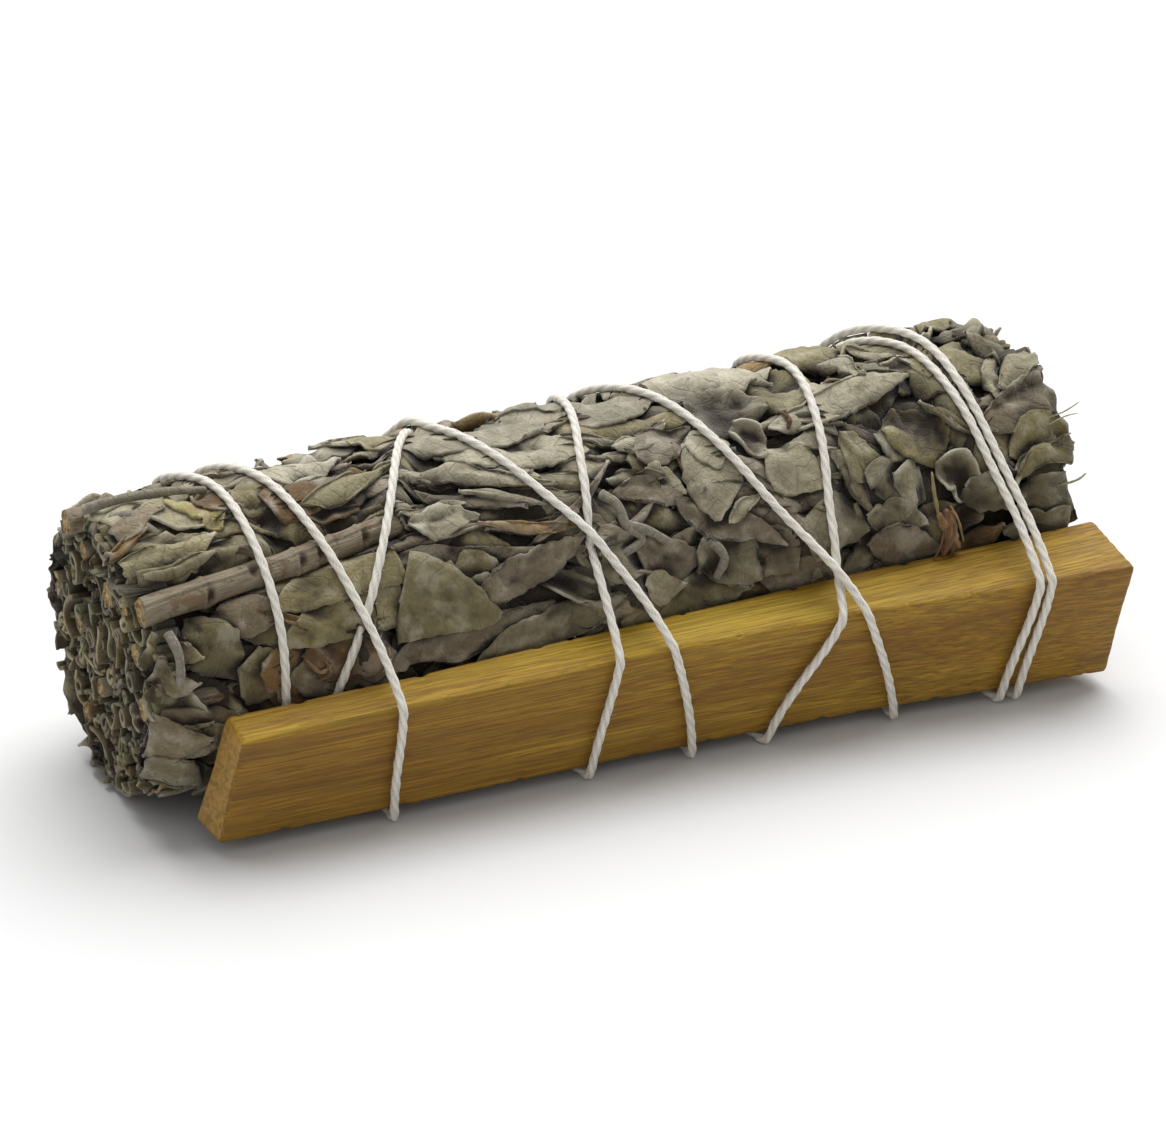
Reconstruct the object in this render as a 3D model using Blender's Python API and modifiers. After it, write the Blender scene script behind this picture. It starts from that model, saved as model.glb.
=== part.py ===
"""A dried white sage bunch with a stick of palo santo wood laid along it, tied by one cotton string.

Metres, +Z up. +X runs along the bunch from its cut stems to its leaf ends, -Y is the side that
the wood stick is tied to, and z = 0 is the surface that the bunch lies on.

A place on the bunch is given by x, an angle phi round its axis and a radius: phi is 0 at the
back (+Y), 90 on top, 180 at the front (-Y) and 270 underneath.
"""
import math
import random

import bmesh
import bpy
import numpy as np
from mathutils import Matrix

MM = 0.001

# The bunch: a slightly tapered round bundle, thicker at the leaf end
BUNCH_START = -52.4 * MM
BUNCH_END = 50.6 * MM
START_RADIUS = 15.4 * MM
END_RADIUS = 16.3 * MM
AXIS_Y = 3.7 * MM
AXIS_X_SHIFT = 0.4 * MM
CORE_DEPTH = 1.9 * MM
CORE_SIDES = 22
CORE_START = -51.0 * MM
CORE_END = 47.0 * MM
ROOT_DEPTH = 0.4 * MM
ROOT_INSET = 0.88
TIP_DROP = 0.8 * MM

# The leaves: thick enough to be sound, curled, lapped over each other and over the core
LEAF_THICKNESS = 0.75 * MM
LEAF_BULGE = 0.9 * MM
LEAF_CROWN = 1.5 * MM
UNDER_STRING = 0.15 * MM
BULGE_NEAR = 1.0 * MM
BULGE_FAR = 4.0 * MM
CUT_END_NEAR = 3.5 * MM
KEPT_FACES = 0.49
FILL_LEAVES = 54
FILL_SEED = 7
START_STRIPS = 26
END_STRIPS = 18

# The cotton string, and the gap that is kept between pieces that touch
STRING_DIAMETER = 1.0 * MM
GAP = 0.3 * MM
FLOOR_CLEARANCE = 0.03 * MM
STRING_SIDES_RESOLUTION = 1
STRING_TURN = math.radians(16)
STRING_STEP = 5.5 * MM
CROSSING_LIFT = 1.35 * MM
CROSSING_WIDTH = 2.0 * MM
KNOT_SIZE = (3.4 * MM, 2.6 * MM, 2.0 * MM)

# The wood stick: split from a bigger piece, wider at its right end, leaning out at the top
STICK_LEAN = math.radians(12)
STICK_BOTTOM = FLOOR_CLEARANCE + STRING_DIAMETER + GAP
STICK_STATION = np.array([-48.0, -24.0, 0.0, 24.0, 53.0]) * MM
STICK_FRONT_Y = np.array([-18.2, -18.5, -18.5, -19.4, -22.0]) * MM
STICK_HEIGHT = np.array([12.6, 13.3, 13.6, 13.6, 14.1]) * MM
STICK_DEPTH = np.array([4.7, 4.4, 4.9, 6.8, 8.6]) * MM
STICK_CHAMFER = 0.55 * MM
STICK_STATIONS = 11
STICK_START_CORNERS = (-47.2 * MM, -45.3 * MM, -45.3 * MM, -48.1 * MM)
STICK_END_CORNERS = (51.9 * MM, 53.1 * MM, 52.6 * MM, 51.6 * MM)

# Where the string passes: for each time round, the x in mm at each of these angles. The front
# bottom edge of the stick is at 215 degrees and its front top edge at 183.
PASS_ANGLES = (60, 90, 120, 150, 183, 215, 270, 340)
PASSES = (
    (-37.6, -35.1, -33.0, -30.7, -28.7, -28.8, -24.5, -19.5),
    (-16.0, -13.2, -9.2, -3.9, 1.1, 4.3, 4.6, 5.0),
    (5.4, 8.7, 12.0, 16.2, 22.6, 27.2, 29.0, 31.5),
    (36.6, 39.6, 40.8, 42.0, 43.2, 41.3, 40.6, 38.6),
    (35.6, 38.4, 39.6, 40.8, 41.9, 39.4, 37.6, 33.0),
    (23.6, 24.8, 23.7, 22.0, 19.9, 13.3, 11.0, 7.5),
    (1.2, -0.5, -3.0, -4.6, -5.0, -6.9, -9.5, -12.0),
    (-14.8, -19.8, -24.2, -28.6, -32.8, -34.6, -34.2, -34.7),
    (-42.3, -40.0, -39.2, -38.8, -38.6, -38.4, -38.8, -39.0),
)
BEHIND_STICK = (7, 8)
BEHIND_STICK_SINK = 1.1 * MM
DOUBLED_PASS = 4
DOUBLED_SINK = 0.5 * MM
KNOT_ANGLE = 345
KNOT_X = -38.2 * MM
START_TAIL = ((-36, -36.2), (-15, -37.4), (20, -38.5))
END_TAIL = ((-15, -39.0), (8, -41.2), (22, -43.2))

# The stems: x of the cut end, length, angle there, angle at the far end, radius, diameter
STEMS = (
    (-51.9, 30.0, 139, 124, 14.3, 3.0),
    (-54.2, 22.0, 72, 76, 13.9, 2.6),
    (-52.6, 30.0, 68, 66, 10.7, 2.0),
    (-52.9, 34.0, 14, 12, 12.6, 1.9),
    (-52.2, 52.0, 104, 104, 7.6, 2.7),
    (-52.3, 26.0, 134, 134, 10.6, 1.9),
    (-52.7, 44.0, 8, 8, 6.2, 2.2),
    (-52.4, 46.0, 156, 156, 11.2, 2.4),
    (-52.8, 20.0, 181, 178, 12.9, 2.4),
    (-51.9, 34.0, 201, 201, 12.6, 2.1),
    (-52.9, 48.0, 262, 262, 3.6, 2.0),
    (-52.6, 30.0, 300, 298, 10.4, 2.2),
)
STEM_BEND = 0.35 * MM
STEM_TAPER = 0.82
SURFACE_STEM = STEMS[0]
SURFACE_STEM_NEAR = 1.6 * MM
SURFACE_STEM_CAP = 13.6 * MM

# Leaves that show most: x and angle of one end, x and angle of the other, width, depth of its
# root under the bunch's surface, and how far round it is rolled, in degrees (below 0, edges out)
SHOWN_LEAVES = (
    (-51.6, 84, -41.0, 79, 5.5, 0.4, 40),
    (-49.0, 96, -42.5, 92, 6.0, 0.4, -50),
    (-45.0, 101, -39.8, 97, 5.5, 0.2, 30),
    (-52.2, 119, -41.8, 113, 5.6, 0.3, 250),
    (-40.5, 148, -24.8, 143, 9.5, 0.3, 45),
    (-27.5, 153, -15.0, 163, 9.0, 0.2, 60),
    (-37.5, 112, -28.5, 108, 6.0, 0.3, -60),
    (-30.0, 110, -21.0, 104, 5.5, 0.3, 200),
    (-24.5, 126, -15.8, 119, 6.5, 0.3, -120),
    (-22.5, 100, -4.0, 128, 6.0, 0.5, 120),
    (-20.0, 88, 1.0, 96, 8.0, 0.3, 50),
    (-13.8, 108, 3.4, 106, 8.5, 0.2, 70),
    (-17.0, 163, -4.6, 147, 6.8, 0.3, -50),
    (-28.0, 175, -8.0, 168, 6.5, 0.5, 60),
    (-22.0, 142, -3.0, 139, 5.5, 0.5, 170),
    (-2.6, 130, 1.2, 160, 3.0, 0.2, 240),
    (5.0, 116, 11.0, 124, 7.5, 0.1, 80),
    (1.0, 138, 11.0, 155, 6.6, 0.2, -70),
    (6.5, 84, 22.0, 92, 10.0, 0.2, 50),
    (9.0, 104, 20.5, 99, 6.0, 0.3, 140),
    (13.5, 121, 19.0, 141, 6.0, 0.2, -150),
    (16.0, 150, 24.5, 137, 6.0, 0.3, 120),
    (21.8, 118, 36.4, 109, 6.2, 0.1, 90),
    (22.0, 136, 30.5, 148, 6.5, 0.2, -140),
    (29.5, 121, 38.6, 141, 8.5, 0.1, -40),
    (26.0, 158, 35.0, 150, 5.5, 0.3, 180),
    (39.4, 84, 47.0, 116, 10.5, 0.1, 60),
    (26.0, 96, 38.0, 90, 7.0, 0.3, 90),
    (38.6, 154, 51.0, 130, 6.5, 0.2, 210),
    (42.8, 146, 50.8, 145, 5.0, 0.4, 240),
    (41.0, 122, 50.2, 120, 6.5, 0.3, 150),
    (-48.5, 156, -38.5, 151, 7.0, 0.3, 110),
    (-47.6, 168, -41.5, 178, 6.5, 0.4, 60),
    (33.0, 166, 45.0, 170, 7.0, 0.4, 100),
    (-24.0, 270, -10.5, 268, 9.0, 0.0, 20),
    (12.5, 268, 27.5, 271, 10.0, 0.0, 20),
)


def clear_scene():
    """Empty the file that the script is run in."""
    for thing in list(bpy.data.objects):
        bpy.data.objects.remove(thing)


def collection(name):
    """A new collection in the scene."""
    made = bpy.data.collections.new(name)
    bpy.context.scene.collection.children.link(made)
    return made


def material(name, colour, roughness):
    """A plain surface of one colour."""
    made = bpy.data.materials.new(name)
    made.use_nodes = True
    shader = made.node_tree.nodes["Principled BSDF"]
    shader.inputs["Base Color"].default_value = (*colour, 1.0)
    shader.inputs["Roughness"].default_value = roughness
    shader.inputs["Metallic"].default_value = 0.0
    return made


def add_object(name, mesh, into):
    """An object for a mesh, in one collection."""
    made = bpy.data.objects.new(name, mesh)
    into.objects.link(made)
    return made


def bunch_radius(x):
    """Radius of the bunch at x: a straight taper from one end to the other."""
    share = (x - BUNCH_START) / (BUNCH_END - BUNCH_START)
    return START_RADIUS + (END_RADIUS - START_RADIUS) * share


def bunch_point(x, phi, radius):
    """World points from x, the angle round the axis in radians and the distance from the axis."""
    return np.stack([
        x + AXIS_X_SHIFT,
        AXIS_Y + radius * np.cos(phi),
        bunch_radius(x) + radius * np.sin(phi),
    ], axis=-1)


def stick_frame(x):
    """Bottom front corner, height and depth of the stick's section at x."""
    front = np.interp(x, STICK_STATION, STICK_FRONT_Y)
    height = np.interp(x, STICK_STATION, STICK_HEIGHT)
    depth = np.interp(x, STICK_STATION, STICK_DEPTH)
    return front, height, depth


def stick_corners(x, grow=0.0):
    """The section's four corners at x, as y from the bunch's axis and z: bottom front, top
    front, top back, bottom back. The section leans out at the top, and grow widens it."""
    front, height, depth = stick_frame(x)
    up = np.array([-math.sin(STICK_LEAN), math.cos(STICK_LEAN)])
    back = np.array([math.cos(STICK_LEAN), math.sin(STICK_LEAN)])
    bottom_front = np.stack([front, np.full_like(front, STICK_BOTTOM)], axis=-1)
    top_front = bottom_front + height[..., None] * up
    top_back = top_front + depth[..., None] * back
    bottom_back = bottom_front + (depth * 0.92)[..., None] * back
    return (
        bottom_front + grow * (-up - back),
        top_front + grow * (up - back),
        top_back + grow * (up + back),
        bottom_back + grow * (back - up),
    )


def wound_radius(x, phi, offset):
    """Distance from the axis to a string wound tight round the bunch and the stick. The shape
    is the smallest convex one round both, pushed out by offset, and flat above the floor."""
    directions = np.radians(np.arange(0.0, 360.0, 1.0))
    radius = bunch_radius(x)
    support = np.repeat((radius + offset)[:, None], len(directions), axis=1)
    for corner in stick_corners(x)[:3]:
        reach = corner[:, :1] * np.cos(directions)
        reach = reach + (corner[:, 1:] - radius[:, None]) * np.sin(directions) + offset
        support = np.maximum(support, reach)
    cosine = np.cos(phi[:, None] - directions)
    far = np.where(cosine > 0.05, support / np.maximum(cosine, 0.05), 1.0)
    return np.minimum(far.min(axis=1), floor_limit(radius, phi))


def floor_limit(radius, phi):
    """How far a string may be from the axis before it would sink into the floor."""
    lowest = FLOOR_CLEARANCE + STRING_DIAMETER / 2
    down = np.maximum(-np.sin(phi), 1e-6)
    return (radius - lowest) / down


def string_keys():
    """The string's route as angles that go on growing, in degrees, and x in metres."""
    angles = [START_TAIL[0][0], START_TAIL[1][0], START_TAIL[2][0]]
    places = [x for _, x in START_TAIL]
    for turn, row in enumerate(PASSES):
        angles += [360 * turn + angle for angle in PASS_ANGLES[:-1]]
        places += list(row[:-1])
        if turn < len(PASSES) - 1:
            angles.append(360 * turn + PASS_ANGLES[-1])
            places.append(row[-1])
    angles += [360 * len(PASSES) + angle for angle, _ in END_TAIL]
    places += [x for _, x in END_TAIL]
    return np.array(angles, float), np.array(places) * MM


def smooth_between(keys, values, at):
    """A smooth curve through the keys: cubic pieces whose slopes are the keys' own."""
    slopes = np.gradient(values, keys)
    index = np.clip(np.searchsorted(keys, at, side="right") - 1, 0, len(keys) - 2)
    span = keys[index + 1] - keys[index]
    t = (at - keys[index]) / span
    return ((2 * t**3 - 3 * t**2 + 1) * values[index]
            + (t**3 - 2 * t**2 + t) * span * slopes[index]
            + (3 * t**2 - 2 * t**3) * values[index + 1]
            + (t**3 - t**2) * span * slopes[index + 1])


def bump(value, centre, half_width):
    """1 at the centre, falling smoothly to 0 at half_width from it."""
    share = np.clip(np.abs(value - centre) / half_width, 0.0, 1.0)
    return (1 - share**2) ** 2


def crossings(x):
    """Where the route crosses itself: the earlier and later place on it, and how fast the two
    runs part there, as a slope. The route has one place for each degree."""
    found = []
    for turns in range(1, len(PASSES) + 1):
        apart = x[:-360 * turns] - x[360 * turns:]
        for i in np.nonzero(np.sign(apart[1:]) != np.sign(apart[:-1]))[0]:
            slope = abs(apart[i + 1] - apart[i]) / (math.radians(1.0) * START_RADIUS)
            found.append((i, i + 360 * turns, slope))
    return found


def string_route():
    """Fine points along the string's centre line, as x, angle in radians and radius."""
    keys, places = string_keys()
    turned = np.arange(keys[0], keys[-1] + 0.5, 1.0)
    x = smooth_between(keys, places, turned)
    phi = np.radians(turned)
    offset = STRING_DIAMETER / 2 + GAP
    over = wound_radius(x, phi, offset)
    plain = np.minimum(bunch_radius(x) + offset, floor_limit(bunch_radius(x), phi))
    turn = np.floor((turned - 20.0) / 360.0)
    around = np.mod(turned, 360.0)
    behind = np.isin(turn, BEHIND_STICK)
    sink = BEHIND_STICK_SINK * bump(around, 198.0, 50.0)
    radius = np.where(behind, np.minimum(plain, bunch_radius(x) + offset - sink), over)
    doubled = (turn == DOUBLED_PASS) * bump(around, 85.0, 55.0)
    radius = radius - DOUBLED_SINK * doubled
    radius = radius + DOUBLED_SINK * (turn == DOUBLED_PASS - 1) * bump(around, 85.0, 55.0)
    lift = np.zeros_like(radius)
    for early, late, slope in crossings(x):
        need = max(CROSSING_LIFT - (radius[early] - radius[late]), 0.0)
        for place, sign in ((early, 1.0), (late, -1.0)):
            along = np.radians(turned - turned[place]) * START_RADIUS
            apart = along * max(slope, 0.25)
            lift += sign * need / 2 * np.exp(-(apart / CROSSING_WIDTH) ** 2)
    return x, phi, radius + lift


def string_points():
    """Points of the string for a tube: close together at its bends, further apart between."""
    x, phi, radius = string_route()
    fine = bunch_point(x, phi, radius)
    ahead = np.diff(fine, axis=0)
    length = np.linalg.norm(ahead, axis=1)
    heading = ahead / length[:, None]
    kept = [fine[0]]
    since = 0.0
    last_heading = heading[0]
    for i in range(1, len(heading)):
        since += length[i - 1]
        turned = math.acos(max(-1.0, min(1.0, float(heading[i] @ last_heading))))
        if since > STRING_STEP or (turned > STRING_TURN and since > 0.5 * MM):
            kept.append(fine[i])
            since = 0.0
            last_heading = heading[i]
    kept.append(fine[-1])
    return np.array(kept)


def tube(name, points, radii, resolution, into):
    """A round tube with closed ends along the points, made a mesh."""
    curve = bpy.data.curves.new(name, "CURVE")
    curve.dimensions = "3D"
    curve.bevel_depth = 1.0
    curve.bevel_resolution = resolution
    curve.use_fill_caps = True
    spline = curve.splines.new("POLY")
    spline.points.add(len(points) - 1)
    spline.points.foreach_set("co", np.c_[points, np.ones(len(points))].ravel())
    spline.points.foreach_set("radius", np.broadcast_to(radii, len(points)).astype(float))
    source = add_object(name + "_line", curve, into)
    bpy.context.view_layer.update()
    seen = source.evaluated_get(bpy.context.evaluated_depsgraph_get())
    mesh = bpy.data.meshes.new_from_object(seen)
    bpy.data.objects.remove(source)
    shape = bmesh.new()
    shape.from_mesh(mesh)
    bmesh.ops.remove_doubles(shape, verts=shape.verts, dist=0.00001)
    bmesh.ops.recalc_face_normals(shape, faces=shape.faces)
    shape.to_mesh(mesh)
    shape.free()
    return add_object(name, mesh, into)


def knot(name, grow, into):
    """The knot's lump: a small round body, longest across the string's two ends."""
    centre = bunch_point(np.array(KNOT_X), np.radians(KNOT_ANGLE), bunch_radius(KNOT_X) + 0.9 * MM)
    shape = bmesh.new()
    bmesh.ops.create_uvsphere(shape, u_segments=10, v_segments=6, radius=0.5)
    size = Matrix.Diagonal([side + 2 * grow for side in KNOT_SIZE] + [1.0])
    turn = Matrix.Rotation(math.radians(KNOT_ANGLE - 90), 4, "X")
    bmesh.ops.transform(shape, matrix=Matrix.Translation(centre) @ turn @ size, verts=shape.verts)
    mesh = bpy.data.meshes.new(name)
    shape.to_mesh(mesh)
    shape.free()
    return add_object(name, mesh, into)


def loft(name, sections, into):
    """A closed body through sections that all have the same number of points."""
    count = len(sections[0])
    shape = bmesh.new()
    rings = [[shape.verts.new(point) for point in section] for section in sections]
    for here, there in zip(rings, rings[1:]):
        for i in range(count):
            j = (i + 1) % count
            shape.faces.new((here[i], here[j], there[j], there[i]))
    shape.faces.new(rings[0])
    shape.faces.new(list(reversed(rings[-1])))
    bmesh.ops.triangulate(shape, faces=shape.faces)
    bmesh.ops.recalc_face_normals(shape, faces=shape.faces)
    mesh = bpy.data.meshes.new(name)
    shape.to_mesh(mesh)
    shape.free()
    return add_object(name, mesh, into)


def stick(name, grow, into):
    """The stick: sections of eight points, square with broken edges, along slanting ends."""
    sections = []
    for share in np.linspace(0.0, 1.0, STICK_STATIONS):
        corners = []
        for index in range(4):
            start = STICK_START_CORNERS[index] - grow
            end = STICK_END_CORNERS[index] + grow
            x = start + (end - start) * share
            y, z = stick_corners(np.array(x), grow)[index]
            wander = 0.12 * MM * math.sin(9.0 * share + 2.1 * index)
            corners.append(np.array([x + AXIS_X_SHIFT, AXIS_Y + y, z + wander * (index % 3 > 0)]))
        section = []
        for index in range(4):
            here = corners[index]
            for other in (corners[index - 1], corners[(index + 1) % 4]):
                away = other - here
                away = away / np.linalg.norm(away)
                section.append(here + away * STICK_CHAMFER)
        sections.append(section)
    return loft(name, sections, into)


def stem(name, row, grow, into):
    """One stem: a tapered, slightly crooked round twig, running along the bunch."""
    start, length, angle, far_angle, radius, diameter = row
    share = np.linspace(0.0, 1.0, 7)
    x = (start + length * share) * MM
    x[0] -= grow
    x[-1] += grow
    phi = np.radians(angle + (far_angle - angle) * share)
    crook = STEM_BEND * np.sin(7.0 * share + start) * share
    points = bunch_point(x, phi + crook / (radius * MM), radius * MM + 0.5 * crook)
    swelling = 1.0 + 0.06 * np.sin(11.0 * share + 2.0 * radius)
    radii = diameter / 2 * MM * (1.0 - (1.0 - STEM_TAPER) * share) * swelling + grow
    return tube(name, points, radii, 2, into)


def leaf_limit(x, phi, strands):
    """The largest distance from the axis that a leaf may reach: tight under the string, and
    swelling out between its turns. It stays under the stem that lies on the surface."""
    strand_x, strand_phi = strands
    around = (phi[..., None] - strand_phi + math.pi) % (2 * math.pi) - math.pi
    apart = np.hypot(x[..., None] - strand_x, START_RADIUS * around).min(axis=-1)
    share = np.clip((apart - BULGE_NEAR) / (BULGE_FAR - BULGE_NEAR), 0.0, 1.0)
    limit = bunch_radius(x) - UNDER_STRING + LEAF_BULGE * share * share * (3 - 2 * share)
    start, length, angle, far_angle = SURFACE_STEM[:4]
    along = (x / MM - start) / length
    side = phi - np.radians(angle + (far_angle - angle) * along)
    side = (side + math.pi) % (2 * math.pi) - math.pi
    on_stem = (np.abs(side) * START_RADIUS < SURFACE_STEM_NEAR) & (along > -0.05) & (along < 0.95)
    return np.where(on_stem, np.minimum(limit, SURFACE_STEM_CAP), limit)


def blade(name, row, rows, columns, phase, strands, into):
    """One leaf, standing out of the core. Its outline is pointed at both ends, or cut across at
    the bunch's own ends. Its section is an arc rolled by an angle, it waves along its length,
    and its underside is sunk in the core."""
    x0, phi0, x1, phi1, width, depth, roll = row
    shape = bmesh.new()
    bmesh.ops.create_grid(shape, x_segments=rows, y_segments=columns, size=1.0)
    bmesh.ops.triangulate(shape, faces=shape.faces)
    grown = bmesh.ops.extrude_face_region(shape, geom=shape.faces[:])
    under = {item for item in grown["geom"] if isinstance(item, bmesh.types.BMVert)}
    sunk = np.array([vert in under for vert in shape.verts])
    inset = np.where(sunk, ROOT_INSET, 1.0)
    u = np.array([vert.co.x for vert in shape.verts]) * inset / 2 + 0.5
    v = np.array([vert.co.y for vert in shape.verts]) * inset
    run_x = (x1 - x0) * MM
    run_around = math.radians(phi1 - phi0) * START_RADIUS
    run = math.hypot(run_x, run_around)
    across_x = -run_around / run
    across_around = run_x / run
    outline = u
    if min(x0, x1) * MM < BUNCH_START + CUT_END_NEAR:
        outline = 0.35 + 0.65 * (u if x0 < x1 else 1 - u)
    if max(x0, x1) * MM > BUNCH_END - CUT_END_NEAR:
        outline = 0.70 * (u if x0 < x1 else 1 - u)
    half = 0.5 * width * MM * (0.16 + 0.84 * np.sin(math.pi * outline ** 0.85) ** 0.7)
    half = half * (1 + 0.07 * np.sin(9.0 * u + phase) * np.abs(v))
    curve = math.radians(roll) / 2
    side = half * np.sin(v * curve) / curve
    rise = half * (np.cos(v * curve) - 1) / curve
    wave = 0.25 * MM * np.sin(7.0 * u + phase) + 0.3 * MM * v * np.sin(5.0 * u + 2.0 * phase)
    x = x0 * MM + run_x * u + across_x * side
    phi = math.radians(phi0) + (run_around * u + across_around * side) / START_RADIUS
    top = bunch_radius(x) + LEAF_CROWN - depth * MM
    radius = top + rise + wave - TIP_DROP * (1 - np.sin(math.pi * u) ** 0.5)
    root = bunch_radius(x) - CORE_DEPTH - ROOT_DEPTH
    radius = np.clip(radius, root + 2 * ROOT_DEPTH, leaf_limit(x, phi, strands))
    radius = np.where(sunk, root, radius)
    for vert, place in zip(shape.verts, bunch_point(x, phi, radius)):
        vert.co = place
    bmesh.ops.recalc_face_normals(shape, faces=shape.faces)
    mesh = bpy.data.meshes.new(name)
    shape.to_mesh(mesh)
    shape.free()
    return add_object(name, mesh, into)


def thicken(sheet):
    """Give an open sheet its thickness, half to each side."""
    solid = sheet.modifiers.new("thickness", "SOLIDIFY")
    solid.thickness = LEAF_THICKNESS
    solid.offset = 0.0
    return sheet


def fill_leaves(strands, into):
    """Leaves all round the bunch, spread evenly by the golden angle, under the shown ones."""
    draw = random.Random(FILL_SEED)
    for index in range(FILL_LEAVES):
        share = (index + 0.5) / FILL_LEAVES
        middle = BUNCH_START / MM + 7 + (BUNCH_END - BUNCH_START) / MM * 0.86 * share
        angle = (index * 137.508 + draw.uniform(-12, 12)) % 360
        length = draw.uniform(15, 26)
        low = max(middle - length / 2, BUNCH_START / MM + draw.uniform(0.0, 1.5))
        high = min(middle + length / 2, BUNCH_END / MM - draw.uniform(0.0, 2.0))
        lean = draw.uniform(-24, 24)
        width = draw.uniform(6.5, 10.5)
        depth = draw.uniform(0.1, 0.9)
        roll = draw.choice((40, 60, 90, 120, 160, -50, -90))
        row = (low, angle - lean, high, angle + lean, width, depth, roll)
        blade("fill_%03d" % index, row, 4, 2, draw.uniform(0, 6), strands, into)


def end_strips(count, inner_x, outer_x, spread, seed, into):
    """Cut leaf edges at one end: short curled sheets that stand out of the core's end face,
    laid round the axis in rings, each curved its own way."""
    draw = random.Random(seed)
    for index in range(count):
        share = math.sqrt((index + 0.5) / count)
        radius = (2.0 + 11.6 * share) * MM
        angle = index * 2.39996
        reach = draw.uniform(-spread, spread) * MM
        bend = draw.uniform(0.6, 2.6) * draw.choice((-1, 1))
        length = draw.uniform(4.0, 6.5) * MM
        turn = angle + math.pi / 2 + draw.uniform(-0.5, 0.5)
        shape = bmesh.new()
        bmesh.ops.create_grid(shape, x_segments=1, y_segments=3, size=1.0)
        bmesh.ops.triangulate(shape, faces=shape.faces)
        middle_y = radius * math.cos(angle)
        middle_z = radius * math.sin(angle)
        for vert in shape.verts:
            outward = (vert.co.x + 1) / 2
            along = vert.co.y
            side = length / 2 * math.sin(along * bend / 2) / (bend / 2)
            sag = length / 2 * (math.cos(along * bend / 2) - 1) / (bend / 2)
            y = middle_y + side * math.cos(turn) - sag * math.sin(turn)
            z = middle_z + side * math.sin(turn) + sag * math.cos(turn)
            ragged = 0.35 * MM * math.sin(3.0 * along + index) * outward
            x = inner_x + (outer_x - inner_x) * outward + (reach + ragged) * outward
            limit = bunch_radius(x) - 0.2 * MM
            far = max(1.0, math.hypot(y, z) / limit)
            vert.co = (x + AXIS_X_SHIFT, AXIS_Y + y / far, bunch_radius(x) + z / far)
        mesh = bpy.data.meshes.new("strip")
        shape.to_mesh(mesh)
        shape.free()
        thicken(add_object("strip_%d_%02d" % (seed, index), mesh, into))


def core(name, into):
    """The packed middle of the bunch, which the leaves stand out of: a tapered drum."""
    start_radius = bunch_radius(CORE_START) - CORE_DEPTH
    end_radius = bunch_radius(CORE_END) - CORE_DEPTH
    length = CORE_END - CORE_START
    shape = bmesh.new()
    bmesh.ops.create_cone(shape, cap_ends=True, segments=CORE_SIDES, radius1=start_radius,
                          radius2=end_radius, depth=length)
    rise = bunch_radius(CORE_END) - bunch_radius(CORE_START)
    lie_down = Matrix.Rotation(math.radians(90) - math.atan2(rise, length), 4, "Y")
    centre = bunch_point(np.array((CORE_START + CORE_END) / 2), 0.0, 0.0)
    bmesh.ops.transform(shape, matrix=Matrix.Translation(centre) @ lie_down, verts=shape.verts)
    mesh = bpy.data.meshes.new(name)
    shape.to_mesh(mesh)
    shape.free()
    return add_object(name, mesh, into)


def combine(target, operation, others, solver):
    """Join a whole collection to the target, or cut it from the target, and apply that."""
    step = target.modifiers.new(operation.lower(), "BOOLEAN")
    step.operation = operation
    step.operand_type = "COLLECTION"
    step.collection = others
    step.solver = solver
    apply_step(target, step)
    keep_largest(target.data)


def thin_out(target):
    """Leave out the small faces along the lines where leaves cross, and apply that."""
    step = target.modifiers.new("thin_out", "DECIMATE")
    step.ratio = KEPT_FACES
    apply_step(target, step)


def apply_step(target, step):
    """Replace an object's mesh by what its modifier makes of it."""
    bpy.context.view_layer.update()
    seen = target.evaluated_get(bpy.context.evaluated_depsgraph_get())
    mesh = bpy.data.meshes.new_from_object(seen)
    target.modifiers.remove(step)
    target.data = mesh


def keep_largest(mesh):
    """Keep only the largest body of a mesh: drop loose scraps and sealed hollows."""
    shape = bmesh.new()
    shape.from_mesh(mesh)
    left = set(shape.verts)
    bodies = []
    while left:
        body = set()
        edge_of_search = [left.pop()]
        while edge_of_search:
            vert = edge_of_search.pop()
            body.add(vert)
            for edge in vert.link_edges:
                other = edge.other_vert(vert)
                if other in left:
                    left.remove(other)
                    edge_of_search.append(other)
        bodies.append(body)
    bodies.sort(key=len)
    for body in bodies[:-1]:
        bmesh.ops.delete(shape, geom=list(body), context="VERTS")
    shape.to_mesh(mesh)
    shape.free()


def split_into_triangles(mesh):
    """Split faces into triangles. Where the new diagonal of two triangles lies along an edge
    that is there already, the pair takes its other diagonal."""
    shape = bmesh.new()
    shape.from_mesh(mesh)
    bmesh.ops.triangulate(shape, faces=shape.faces, ngon_method="EAR_CLIP")
    for edge in [edge for edge in shape.edges if len(edge.link_faces) > 2]:
        pair = flat_pair(edge)
        if pair:
            start, end, here, there, faces = pair
            bmesh.ops.delete(shape, geom=faces, context="FACES_ONLY")
            shape.faces.new((start, there, here))
            shape.faces.new((there, end, here))
    shape.to_mesh(mesh)
    shape.free()


def flat_pair(edge):
    """Two triangles on an edge that lie in one plane, with the edge's ends and their far points."""
    for loop in edge.link_loops:
        for other in edge.link_loops:
            flat = loop.face.normal.dot(other.face.normal) > 0.9999
            if loop.face is not other.face and flat and loop.vert is not other.vert:
                here = loop.link_loop_prev.vert
                there = other.link_loop_prev.vert
                return loop.vert, other.vert, here, there, [loop.face, other.face]
    return None


def remove_collection(group):
    """Remove a collection with its objects."""
    for thing in list(group.objects):
        bpy.data.objects.remove(thing)
    bpy.data.collections.remove(group)


def as_cutter(thing):
    """Mark an object as a cutter, which is no piece of the bunch."""
    thing.hide_render = True
    thing.display_type = "WIRE"


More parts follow.
